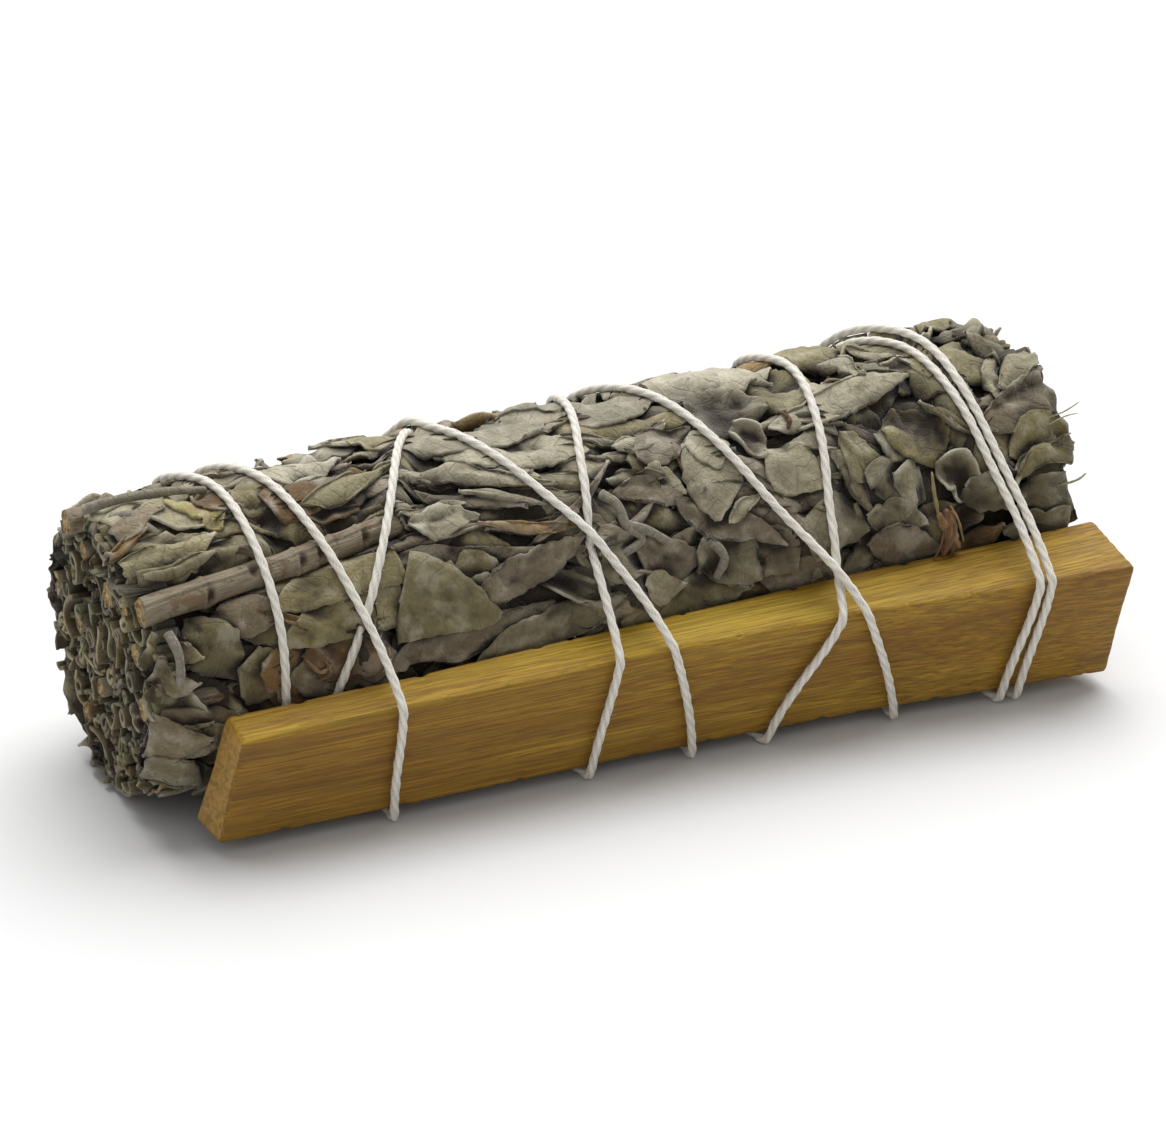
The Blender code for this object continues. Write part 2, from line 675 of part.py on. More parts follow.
def floor_block(into):
    """A block under the surface that the bunch lies on, which flattens its lowest leaves."""
    depth = 10 * MM
    shape = bmesh.new()
    bmesh.ops.create_cube(shape, size=1.0)
    size = Matrix.Diagonal((140 * MM, 80 * MM, depth, 1.0))
    bmesh.ops.transform(shape, matrix=Matrix.Translation((0, 0, -depth / 2)) @ size, verts=shape.verts)
    mesh = bpy.data.meshes.new("floor_block")
    shape.to_mesh(mesh)
    shape.free()
    return add_object("floor_block", mesh, into)


def build():
    """Make every piece, fuse the leaves, and cut them clear of their neighbours."""
    clear_scene()
    bunch = collection("sage_bunch")
    cutters = collection("cutters")
    joined = collection("joined")

    route_x, route_phi, _ = string_route()
    strands = (route_x[::4], route_phi[::4])
    line = string_points()

    leaves = core("sage_leaves", bunch)
    fill_leaves(strands, joined)
    for index, row in enumerate(SHOWN_LEAVES):
        blade("shown_%02d" % index, row, 6, 2, 1.7 * index, strands, joined)
    end_strips(START_STRIPS, CORE_START + 1.5 * MM, BUNCH_START, 0.8, 11, joined)
    end_strips(END_STRIPS, CORE_END - 1.5 * MM, BUNCH_END - 1.2 * MM, 1.6, 12, joined)
    combine(leaves, "UNION", joined, "EXACT")
    remove_collection(joined)
    split_into_triangles(leaves.data)
    thin_out(leaves)

    for index, row in enumerate(STEMS):
        twig = stem("stem_%02d" % (index + 1), row, 0.0, bunch)
        twig.data.materials.append(material("sage_bark", (0.27, 0.20, 0.15), 0.85))
        stem("stem_bore_%02d" % (index + 1), row, GAP, cutters)
    stick("stick_seat", GAP, cutters)
    tube("string_groove", line, STRING_DIAMETER / 2 + GAP, STRING_SIDES_RESOLUTION, cutters)
    knot("knot_seat", GAP, cutters)
    floor_block(cutters)
    for thing in cutters.objects:
        as_cutter(thing)
    combine(leaves, "DIFFERENCE", cutters, "MANIFOLD")
    split_into_triangles(leaves.data)
    leaves.data.materials.append(material("dried_sage_leaf", (0.26, 0.26, 0.20), 0.9))

    wood = stick("palo_santo_stick", 0.0, bunch)
    wood.data.materials.append(material("palo_santo_wood", (0.48, 0.29, 0.09), 0.7))

    ties = collection("ties")
    knot("knot_lump", 0.0, ties)
    string = tube("cotton_string", line, STRING_DIAMETER / 2, STRING_SIDES_RESOLUTION, bunch)
    combine(string, "UNION", ties, "EXACT")
    split_into_triangles(string.data)
    remove_collection(ties)
    string.data.materials.append(material("cotton_twine", (0.76, 0.72, 0.65), 0.9))


build()
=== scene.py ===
"""A dried white sage bunch, bound with a split stick of palo santo wood by one cotton string.

Shapes are worked out in millimetres and turned into metres as their meshes are made. A place on
the bunch is x along it, an angle phi round its axis (0 at the back, 90 on top, 180 at the front,
270 underneath) and a distance from the axis.
"""
import math

import bpy
import numpy as np
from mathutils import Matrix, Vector


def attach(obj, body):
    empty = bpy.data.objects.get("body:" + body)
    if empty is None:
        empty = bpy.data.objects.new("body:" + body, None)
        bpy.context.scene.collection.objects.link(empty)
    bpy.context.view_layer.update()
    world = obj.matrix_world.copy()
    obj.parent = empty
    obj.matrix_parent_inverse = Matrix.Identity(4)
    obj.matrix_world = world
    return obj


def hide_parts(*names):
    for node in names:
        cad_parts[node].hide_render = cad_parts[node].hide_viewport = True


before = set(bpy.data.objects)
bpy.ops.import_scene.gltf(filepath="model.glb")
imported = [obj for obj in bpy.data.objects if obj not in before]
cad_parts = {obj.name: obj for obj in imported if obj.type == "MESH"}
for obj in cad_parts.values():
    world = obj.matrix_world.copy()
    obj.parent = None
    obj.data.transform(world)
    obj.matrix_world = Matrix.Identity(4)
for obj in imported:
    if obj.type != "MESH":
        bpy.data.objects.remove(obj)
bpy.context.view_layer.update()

MM = 0.001


# Where the string runs. The string is what gives the bunch its shape: it is pulled tight round the
# leaves and the stick nine times, and the leaves are pressed in under it and swell out between its
# turns, so its route comes before them.
BUNCH_START = -52.4
BUNCH_END = 50.6
START_RADIUS = 15.4
END_RADIUS = 16.3
MEAN_RADIUS = 15.85
AXIS_X_SHIFT = 0.4
AXIS_Y = 3.7
STRING_DIAMETER = 1.0
GAP = 0.3
FLOOR_CLEARANCE = 0.03
CROSSING_LIFT = 1.35
CROSSING_WIDTH = 2.0

# The stick, whose section grows towards its wide end: its size and place at five x
STICK_LEAN = math.radians(12)
STICK_BOTTOM = FLOOR_CLEARANCE + STRING_DIAMETER + GAP
STICK_STATION = np.array([-48.0, -24.0, 0.0, 24.0, 53.0])
STICK_FRONT_Y = np.array([-18.2, -18.5, -18.5, -19.4, -22.0])
STICK_HEIGHT = np.array([12.6, 13.3, 13.6, 13.6, 14.1])
STICK_DEPTH = np.array([4.7, 4.4, 4.9, 6.8, 8.6])

# For each time round, the x at each of these angles
PASS_ANGLES = (60, 90, 120, 150, 183, 215, 270, 340)
PASSES = (
    (-37.6, -35.1, -33.0, -30.7, -28.7, -28.8, -24.5, -19.5),
    (-16.0, -13.2, -9.2, -3.9, 1.1, 4.3, 4.6, 5.0),
    (5.4, 8.7, 12.0, 16.2, 22.6, 27.2, 29.0, 31.5),
    (36.6, 39.6, 40.8, 42.0, 43.2, 41.3, 40.6, 38.6),
    (35.6, 38.4, 39.6, 40.8, 41.9, 39.4, 37.6, 33.0),
    (23.6, 24.8, 23.7, 22.0, 19.9, 13.3, 11.0, 7.5),
    (1.2, -0.5, -3.0, -4.6, -5.0, -6.9, -9.5, -12.0),
    (-14.8, -19.8, -24.2, -28.6, -32.8, -34.6, -34.2, -34.7),
    (-42.3, -40.0, -39.2, -38.8, -38.6, -38.4, -38.8, -39.0),
)
# The last turns run behind the stick, and two turns lie side by side, one a little higher
BEHIND_STICK = (7, 8)
BEHIND_STICK_SINK = 1.1
BEHIND_STICK_ARC = (198.0, 50.0)
DOUBLED_PASS = 4
DOUBLED_SINK = 0.5
DOUBLED_ARC = (85.0, 55.0)
TURN_START_ANGLE = 20.0
# The string's two ends, as angles and x
START_TAIL = ((-36, -36.2), (-15, -37.4), (20, -38.5))
END_TAIL = ((-15, -39.0), (8, -41.2), (22, -43.2))


def bunch_radius(x):
    """Radius of the bunch at x: a straight taper from one end to the other."""
    share = (x - BUNCH_START) / (BUNCH_END - BUNCH_START)
    return START_RADIUS + (END_RADIUS - START_RADIUS) * share


def bunch_point(x, phi, radius):
    """Points from x, the angle in radians and the distance from the bunch's axis."""
    x, phi, radius = np.broadcast_arrays(x, phi, radius)
    return np.stack([
        x + AXIS_X_SHIFT,
        AXIS_Y + radius * np.cos(phi),
        bunch_radius(x) + radius * np.sin(phi),
    ], axis=-1)


def stick_corners(x):
    """The stick's section at x, as y from the bunch's axis and z: bottom front, top front, top
    back, bottom back. The section leans out at the top."""
    front = np.interp(x, STICK_STATION, STICK_FRONT_Y)
    height = np.interp(x, STICK_STATION, STICK_HEIGHT)
    depth = np.interp(x, STICK_STATION, STICK_DEPTH)
    up = np.array([-math.sin(STICK_LEAN), math.cos(STICK_LEAN)])
    back = np.array([math.cos(STICK_LEAN), math.sin(STICK_LEAN)])
    bottom_front = np.stack([front, np.full_like(front, STICK_BOTTOM)], axis=-1)
    top_front = bottom_front + height[..., None] * up
    top_back = top_front + depth[..., None] * back
    bottom_back = bottom_front + (depth * 0.92)[..., None] * back
    return bottom_front, top_front, top_back, bottom_back


def floor_limit(radius, phi):
    """How far a string may be from the axis before it would sink into the floor."""
    lowest = FLOOR_CLEARANCE + STRING_DIAMETER / 2
    down = np.maximum(-np.sin(phi), 1e-6)
    return (radius - lowest) / down


def wound_radius(x, phi, offset):
    """Distance from the axis to a string wound tight round the bunch and the stick: the smallest
    convex shape round both, pushed out by offset, and flat above the floor."""
    directions = np.radians(np.arange(0.0, 360.0, 1.0))
    radius = bunch_radius(x)
    support = np.repeat((radius + offset)[:, None], len(directions), axis=1)
    for corner in stick_corners(x)[:3]:
        reach = corner[:, :1] * np.cos(directions)
        reach = reach + (corner[:, 1:] - radius[:, None]) * np.sin(directions) + offset
        support = np.maximum(support, reach)
    cosine = np.cos(phi[:, None] - directions)
    far = np.where(cosine > 0.05, support / np.maximum(cosine, 0.05), 1000.0)
    return np.minimum(far.min(axis=1), floor_limit(radius, phi))


def string_keys():
    """The string's route as angles that go on growing, in degrees, and x."""
    angles = [angle for angle, _ in START_TAIL]
    places = [x for _, x in START_TAIL]
    for turn, row in enumerate(PASSES):
        angles += [360 * turn + angle for angle in PASS_ANGLES[:-1]]
        places += list(row[:-1])
        if turn < len(PASSES) - 1:
            angles.append(360 * turn + PASS_ANGLES[-1])
            places.append(row[-1])
    angles += [360 * len(PASSES) + angle for angle, _ in END_TAIL]
    places += [x for _, x in END_TAIL]
    return np.array(angles, float), np.array(places)


def smooth_between(keys, values, at):
    """A smooth curve through the keys: cubic pieces whose slopes are the keys' own."""
    slopes = np.gradient(values, keys, axis=0)
    index = np.clip(np.searchsorted(keys, at, side="right") - 1, 0, len(keys) - 2)
    span = keys[index + 1] - keys[index]
    t = (at - keys[index]) / span
    if values.ndim > 1:
        span, t = span[:, None], t[:, None]
    return ((2 * t**3 - 3 * t**2 + 1) * values[index]
            + (t**3 - 2 * t**2 + t) * span * slopes[index]
            + (3 * t**2 - 2 * t**3) * values[index + 1]
            + (t**3 - t**2) * span * slopes[index + 1])


def hill(value, centre, half_width):
    """1 at the centre, falling smoothly to 0 at half_width from it."""
    share = np.clip(np.abs(value - centre) / half_width, 0.0, 1.0)
    return (1 - share**2) ** 2


def crossings(x):
    """Where the route crosses itself: the earlier and later place on it, and how fast the two
    runs part there, as a slope. The route has one place for each degree."""
    found = []
    for turns in range(1, len(PASSES) + 1):
        apart = x[:-360 * turns] - x[360 * turns:]
        for i in np.nonzero(np.sign(apart[1:]) != np.sign(apart[:-1]))[0]:
            slope = abs(apart[i + 1] - apart[i]) / (math.radians(1.0) * START_RADIUS)
            found.append((i, i + 360 * turns, slope))
    return found


def string_route():
    """Points along the string's centre line, one for each degree, as x, angle and radius. It lies
    on the wound shape, and where two runs cross, one is lifted and one sinks by half each."""
    keys, places = string_keys()
    turned = np.arange(keys[0], keys[-1] + 0.5, 1.0)
    x = smooth_between(keys, places, turned)
    phi = np.radians(turned)
    offset = STRING_DIAMETER / 2 + GAP
    over = wound_radius(x, phi, offset)
    plain = np.minimum(bunch_radius(x) + offset, floor_limit(bunch_radius(x), phi))
    turn = np.floor((turned - TURN_START_ANGLE) / 360.0)
    around = np.mod(turned, 360.0)
    sink = BEHIND_STICK_SINK * hill(around, *BEHIND_STICK_ARC)
    behind = np.minimum(plain, bunch_radius(x) + offset - sink)
    radius = np.where(np.isin(turn, BEHIND_STICK), behind, over)
    doubled = DOUBLED_SINK * hill(around, *DOUBLED_ARC)
    radius = radius - (turn == DOUBLED_PASS) * doubled + (turn == DOUBLED_PASS - 1) * doubled
    lift = np.zeros_like(radius)
    for early, late, slope in crossings(x):
        need = max(CROSSING_LIFT - (radius[early] - radius[late]), 0.0)
        for place, sign in ((early, 1.0), (late, -1.0)):
            along = np.radians(turned - turned[place]) * START_RADIUS
            apart = along * max(slope, 0.25)
            lift += sign * need / 2 * np.exp(-(apart / CROSSING_WIDTH) ** 2)
    return x, phi, radius + lift


ROUTE_X, ROUTE_PHI, ROUTE_RADIUS = string_route()


# How far the leaves may reach. The unrolled surface of the bunch is a map with x one way and the
# arc round the axis the other. Heights on it are measured from the bunch's own radius.
CELL = 0.25
MAP_START = -57.0
MAP_ROWS = 456
MAP_COLUMNS = 398
ARC_ROUND = 2 * math.pi * MEAN_RADIUS
BULGE = 0.95
STRING_NEAR = 0.6
STRING_FAR = 3.6
STRING_RIDGE = 1.7
STRING_OVERLAP = 0.2
FAR_FROM_STRING = 5.0
END_PRESS = 0.7
END_PRESS_WIDTH = 3.0
STICK_BACK_GAP = 0.25
STICK_BACK_START = -46.0
STICK_TOP_BLEND = 3.5
LEAST_SLOPE = 0.3
LEAF_FLOOR_GAP = 0.06
# The stem that lies on the bunch's side: the x where it starts, its length, and its angle there
# and at its far end
SURFACE_STEM = (-51.9, 30.0, 139, 124)
SURFACE_STEM_WIDTH = 1.7
SURFACE_STEM_DEPTH = -2.2


def smooth_step(value):
    """0 below 0, 1 above 1, and a smooth rise between."""
    share = np.clip(value, 0.0, 1.0)
    return share * share * (3 - 2 * share)


def string_maps():
    """For each cell of the map, how far the nearest run of string is, up to 5 mm, and how high
    that run's inner side is."""
    apart = np.full((MAP_ROWS, MAP_COLUMNS), FAR_FROM_STRING)
    under = np.full((MAP_ROWS, MAP_COLUMNS), BULGE)
    window = np.arange(-20, 21)
    inner = ROUTE_RADIUS - bunch_radius(ROUTE_X) - STRING_DIAMETER / 2
    for x, phi, height in zip(ROUTE_X[::3], ROUTE_PHI[::3], inner[::3]):
        row = (x - MAP_START) / CELL
        column = phi * MEAN_RADIUS / (ARC_ROUND / MAP_COLUMNS)
        rows = int(row) + window
        rows = rows[(rows >= 0) & (rows < MAP_ROWS)][:, None]
        columns = (int(column) + window)[None, :]
        far = np.hypot(rows - row, columns - column) * CELL
        cells = rows, columns % MAP_COLUMNS
        nearer = far < apart[cells]
        apart[cells] = np.where(nearer, far, apart[cells])
        under[cells] = np.where(nearer, np.minimum(height + STRING_OVERLAP, STRING_RIDGE),
                                under[cells])
    return apart, under


STRING_APART, UNDER_STRING = string_maps()


def limit_map():
    """The greatest height of the leaves at each cell: low under the string, swelling between its
    runs, behind the stick's back, above the floor and in under the stem on the surface."""
    s = (MAP_START + CELL * np.arange(MAP_ROWS))[:, None]
    phi = (2 * math.pi / MAP_COLUMNS * np.arange(MAP_COLUMNS))[None, :]
    radius = bunch_radius(s)
    rise = smooth_step((STRING_APART - STRING_NEAR) / (STRING_FAR - STRING_NEAR))
    limit = UNDER_STRING + (BULGE - UNDER_STRING) * rise
    start, length, angle, far_angle = SURFACE_STEM
    along = (s - start) / length
    side = (phi - np.radians(angle + (far_angle - angle) * along)) * MEAN_RADIUS
    beside = smooth_step((np.abs(side) - SURFACE_STEM_WIDTH * 0.6) / SURFACE_STEM_WIDTH)
    beside = np.where((along > -0.05) & (along < 0.95), beside, 1.0)
    limit = limit * beside + SURFACE_STEM_DEPTH * (1 - beside)
    near_end = np.minimum(s - BUNCH_START, BUNCH_END - s)
    limit = limit - END_PRESS * (1 - smooth_step(near_end / END_PRESS_WIDTH))
    _, _, top_back, bottom_back = stick_corners(s[:, 0])
    edge = top_back - bottom_back
    normal = np.stack([-edge[:, 1], edge[:, 0]], axis=-1)
    normal = normal / np.linalg.norm(normal, axis=-1, keepdims=True)
    from_axis = top_back - np.stack([np.zeros(MAP_ROWS), radius[:, 0]], axis=-1)
    reach = (normal * from_axis).sum(axis=-1)[:, None]
    slope = normal[:, :1] * np.cos(phi) + normal[:, 1:] * np.sin(phi)
    back = reach / np.maximum(slope, LEAST_SLOPE)
    corner = np.arctan2(from_axis[:, 1], from_axis[:, 0])[:, None] % (2 * math.pi)
    above = smooth_step((corner - phi) * MEAN_RADIUS / STICK_TOP_BLEND)
    held = np.where((slope > LEAST_SLOPE) & (s > STICK_BACK_START),
                    back - radius - STICK_BACK_GAP, FAR_FROM_STRING)
    held = np.where(phi > corner, held, held * (1 - above) + limit * above)
    limit = np.where((phi > corner - 0.25) & (phi < math.radians(250)),
                     np.minimum(limit, held), limit)
    down = np.maximum(-np.sin(phi), 0.2)
    return np.minimum(limit, (radius - LEAF_FLOOR_GAP) / down - radius)


LIMIT = limit_map()
LOOSENESS = 0.06 + 0.94 * smooth_step((STRING_APART - 0.4) / 2.4)


# The leaves. Dried white sage leaves, a third of a millimetre thick and velvety, were pressed into
# the bundle by hand, one over the other, and dried there: curled with their edges under, rolled,
# creased and crumpled. Each leaf here is a sheet bent by its own angles and laid over what is
# already there, and the whole pile is then pressed under the limit.
PILE_DEPTH = 2.6
LEAF_THICKNESS = 0.3
ROW_STEP = 0.36
STIFF_BLUR = 1.5
TOUCH_BLUR = 0.28
TOUCH_SOFTNESS = 0.08
PRESS_SOFTNESS = 0.12

# How a kind of leaf is bent: the roll of its section in degrees (below 0, edges under), the curl of
# its rim, ripple and crumple heights in mm, twist along it, and how far its middle line wanders
KINDS = {
    "pad": (-45, -75, 0.12, 0.10, 8, 0.5),
    "flat": (-20, -22, 0.14, 0.08, 5, 0.5),
    "wedge": (-15, -25, 0.16, 0.10, 5, 0.4),
    "shell": (-120, -60, 0.20, 0.12, 10, 0.6),
    "tube": (-350, -30, 0.05, 0.06, 10, 0.5),
    "trough": (110, 20, 0.25, 0.15, 25, 0.7),
    "strip": (-150, -70, 0.10, 0.05, 35, 0.9),
    "creased": (-40, -35, 0.35, 0.60, 20, 0.8),
}

# Leaf colours, as they look in even light
TINTS = {
    "grey": "#807964",
    "silver": "#98917B",
    "green": "#756E4F",
    "pale": "#807755",
    "olive": "#6E6544",
    "yellow": "#877C4E",
    "mauve": "#7B705F",
    "tan": "#866A3C",
    "brown": "#5E441E",
}

# The leaves that show most, from the lowest to the topmost: x and angle of one end, x and angle
# of the other, width, kind, colour
SHOWN_LEAVES = (
    (-52.2, 93, -41.0, 80, 6.5, "flat", "silver"),
    (-48.8, 95, -42.8, 108, 4.6, "trough", "silver"),
    (-44.5, 88, -41.2, 112, 6.0, "creased", "yellow"),
    (-42.6, 94, -40.2, 106, 3.6, "creased", "brown"),
    (-37.6, 92, -33.5, 124, 7.5, "creased", "olive"),
    (-36.0, 100, -29.2, 110, 6.0, "creased", "brown"),
    (-54.0, 111, -48.6, 107, 3.6, "tube", "tan"),
    (-52.0, 103, -46.0, 98, 3.6, "strip", "mauve"),
    (-52.2, 122, -42.4, 116, 5.6, "shell", "silver"),
    (-51.4, 126, -43.0, 124, 5.0, "tube", "grey"),
    (-46.0, 152, -37.6, 148, 6.4, "shell", "mauve"),
    (-47.6, 145, -42.6, 174, 6.2, "pad", "green"),
    (-43.4, 168, -38.4, 178, 6.4, "flat", "green"),
    (-52.1, 152, -47.0, 160, 5.6, "shell", "silver"),
    (-52.0, 163, -47.6, 170, 5.0, "shell", "grey"),
    (-53.0, 190, -46.6, 193, 7.0, "shell", "mauve"),
    (-53.4, 205, -46.8, 218, 7.0, "pad", "grey"),
    (-41.0, 168, -33.0, 182, 8.0, "creased", "tan"),
    (-38.0, 175, -25.6, 180, 8.0, "flat", "mauve"),
    (-36.6, 170, -27.8, 172, 6.4, "creased", "brown"),
    (-34.9, 80, -25.6, 86, 7.5, "creased", "silver"),
    (-32.8, 110, -20.8, 97, 5.0, "tube", "green"),
    (-22.4, 108, -8.4, 131, 3.6, "strip", "grey"),
    (-22.0, 103, -6.0, 124, 3.6, "strip", "silver"),
    (-20.5, 112, -10.0, 130, 3.0, "strip", "mauve"),
    (-16.6, 93, -1.1, 112, 8.0, "pad", "silver"),
    (-20.0, 85, 1.5, 90, 9.0, "pad", "grey"),
    (-16.5, 119, -8.2, 132, 3.4, "tube", "grey"),
    (-27.0, 133, -14.6, 133, 3.8, "tube", "mauve"),
    (-16.0, 134, -5.0, 142, 2.8, "tube", "tan"),
    (-26.2, 142, -9.8, 147, 5.4, "shell", "mauve"),
    (-22.0, 150, -13.0, 153, 4.6, "creased", "olive"),
    (-20.4, 155, -14.2, 160, 4.2, "creased", "grey"),
    (-28.0, 179, -8.9, 167, 6.0, "shell", "mauve"),
    (-18.0, 184, -1.8, 169, 6.4, "shell", "grey"),
    (-6.8, 148, 2.6, 160, 6.6, "pad", "grey"),
    (-18.6, 163, -5.2, 145, 5.4, "pad", "mauve"),
    (-25.4, 148, -38.8, 163, 8.4, "wedge", "pale"),
    (-25.0, 133, -38.8, 149, 8.6, "wedge", "pale"),
    (-25.9, 155, -15.4, 167, 9.8, "wedge", "pale"),
    (-23.5, 117, -18.2, 133, 3.0, "trough", "silver"),
    (-23.4, 121, -16.2, 124, 2.6, "strip", "silver"),
    (-22.6, 126, -15.6, 131, 4.0, "creased", "silver"),
    (9.0, 74, 23.6, 82, 9.5, "pad", "silver"),
    (-1.5, 92, 8.8, 90, 8.5, "pad", "grey"),
    (12.0, 92, 19.8, 108, 8.0, "pad", "grey"),
    (1.2, 114, 8.4, 106, 4.6, "shell", "silver"),
    (3.2, 121, 10.4, 111, 6.2, "pad", "mauve"),
    (3.8, 125, 7.0, 138, 5.0, "pad", "silver"),
    (-0.8, 127, 5.6, 131, 3.6, "tube", "grey"),
    (0.0, 152, 8.0, 164, 5.6, "pad", "mauve"),
    (1.6, 182, 13.0, 176, 6.0, "flat", "green"),
    (0.4, 168, 5.0, 171, 4.4, "pad", "silver"),
    (12.3, 158, 17.8, 174, 6.0, "pad", "mauve"),
    (7.6, 155, 13.8, 174, 8.6, "pad", "grey"),
    (-0.6, 131, 7.0, 141, 4.2, "shell", "mauve"),
    (5.6, 139, 16.6, 163, 5.2, "shell", "mauve"),
    (13.6, 128, 22.2, 152, 5.8, "pad", "mauve"),
    (17.0, 128, 22.0, 146, 7.0, "pad", "silver"),
    (15.2, 112, 16.6, 130, 3.8, "trough", "silver"),
    (10.2, 114, 9.8, 150, 8.0, "pad", "silver"),
    (10.4, 113, 11.6, 131, 5.0, "flat", "silver"),
    (10.6, 150, 14.8, 142, 3.0, "strip", "silver"),
    (20.2, 115, 25.8, 127, 4.8, "tube", "grey"),
    (24.0, 116, 26.9, 124, 3.2, "tube", "grey"),
    (18.4, 158, 26.6, 164, 8.4, "pad", "grey"),
    (23.6, 131, 27.2, 159, 3.6, "shell", "grey"),
    (18.4, 118, 36.4, 106, 6.4, "shell", "silver"),
    (25.4, 128, 30.0, 144, 5.0, "creased", "green"),
    (27.2, 142, 31.6, 156, 5.6, "creased", "grey"),
    (29.6, 130, 33.6, 141, 5.0, "creased", "grey"),
    (30.0, 146, 33.6, 158, 4.6, "creased", "silver"),
    (26.2, 160, 33.0, 166, 5.4, "shell", "grey"),
    (26.4, 170, 35.0, 178, 6.6, "pad", "mauve"),
    (32.5, 82, 37.4, 102, 3.2, "strip", "silver"),
    (30.4, 84, 34.6, 103, 3.2, "strip", "grey"),
    (28.6, 86, 31.8, 104, 3.0, "strip", "silver"),
    (36.4, 106, 41.8, 116, 5.4, "shell", "green"),
    (39.6, 82, 45.4, 117, 10.5, "pad", "pale"),
    (47.2, 100, 43.9, 128, 2.6, "strip", "silver"),
    (45.6, 90, 51.2, 116, 7.0, "shell", "grey"),
    (44.6, 122, 51.6, 106, 4.6, "shell", "silver"),
    (40.8, 138, 51.4, 126, 6.8, "shell", "mauve"),
    (33.2, 119, 36.0, 147, 7.4, "flat", "yellow"),
    (35.8, 120, 40.6, 138, 4.0, "tube", "olive"),
    (43.6, 147, 52.4, 141, 6.6, "shell", "yellow"),
    (43.8, 154, 52.0, 149, 5.0, "shell", "olive"),
    (43.0, 158, 51.4, 152, 3.6, "strip", "pale"),
    (43.2, 166, 50.6, 165, 6.8, "shell", "grey"),
    (42.0, 176, 50.0, 178, 6.0, "pad", "grey"),
    (35.4, 146, 39.8, 160, 5.6, "trough", "silver"),
    (38.0, 156, 42.6, 166, 4.8, "creased", "grey"),
)


def sheet_quads(rows, columns):
    """Faces of a closed thin sheet whose upper grid of points is followed by its lower one."""
    grid = np.arange(rows * columns).reshape(rows, columns)
    upper = np.stack([grid[:-1, :-1], grid[:-1, 1:], grid[1:, 1:], grid[1:, :-1]], -1).reshape(-1, 4)
    lower = upper[:, ::-1] + rows * columns
    ring = np.concatenate([grid[0], grid[1:, -1], grid[-1, -2::-1], grid[-2:0:-1, 0]])
    ahead = np.roll(ring, -1)
    rim = np.stack([ahead, ring, ring + rows * columns, ahead + rows * columns], -1)
    return np.concatenate([upper, lower, rim])


def blurred(heights, width):
    """The map with each height averaged over its surroundings by a bell curve, wrapped round."""
    down = np.fft.fftfreq(MAP_ROWS)[:, None]
    across = np.fft.rfftfreq(MAP_COLUMNS)[None, :]
    bell = np.exp(-2 * (math.pi * width / CELL) ** 2 * (down**2 + across**2))
    return np.fft.irfft2(np.fft.rfft2(heights) * bell, s=heights.shape)


def read_map(heights, s, t):
    """Heights between the map's cells: the mean of the four cells round a place, by nearness."""
    row = np.clip((s - MAP_START) / CELL, 0, MAP_ROWS - 1.001)
    column = np.mod(t, ARC_ROUND) / ARC_ROUND * MAP_COLUMNS
    i = row.astype(int)
    j = column.astype(int) % MAP_COLUMNS
    across = (j + 1) % MAP_COLUMNS
    a = row - i
    b = column - np.floor(column)
    return ((heights[i, j] * (1 - b) + heights[i, across] * b) * (1 - a)
            + (heights[i + 1, j] * (1 - b) + heights[i + 1, across] * b) * a)


def finer(values, times):
    """A grid of values with its cells split, each value in between on a straight line."""
    for _ in range(2):
        steps = np.linspace(0, len(values) - 1, (len(values) - 1) * times + 1)
        i = np.minimum(steps.astype(int), len(values) - 2)
        share = (steps - i)[:, None]
        values = (values[i] * (1 - share) + values[i + 1] * share).T
    return values


def raise_map(heights, s, t, h):
    """Lift the map's cells to the leaf that now lies over them."""
    s, t, h = finer(s, 3), finer(t, 3), finer(h, 3)
    i = np.clip(np.rint((s - MAP_START) / CELL).astype(int), 0, MAP_ROWS - 1)
    j = np.rint(np.mod(t, ARC_ROUND) / ARC_ROUND * MAP_COLUMNS).astype(int) % MAP_COLUMNS
    np.maximum.at(heights, (i, j), h)


def crease(value):
    """A wave with straight sides and slightly rounded tips, between -1 and 1."""
    return np.arcsin(0.96 * np.sin(value)) / math.asin(0.96)


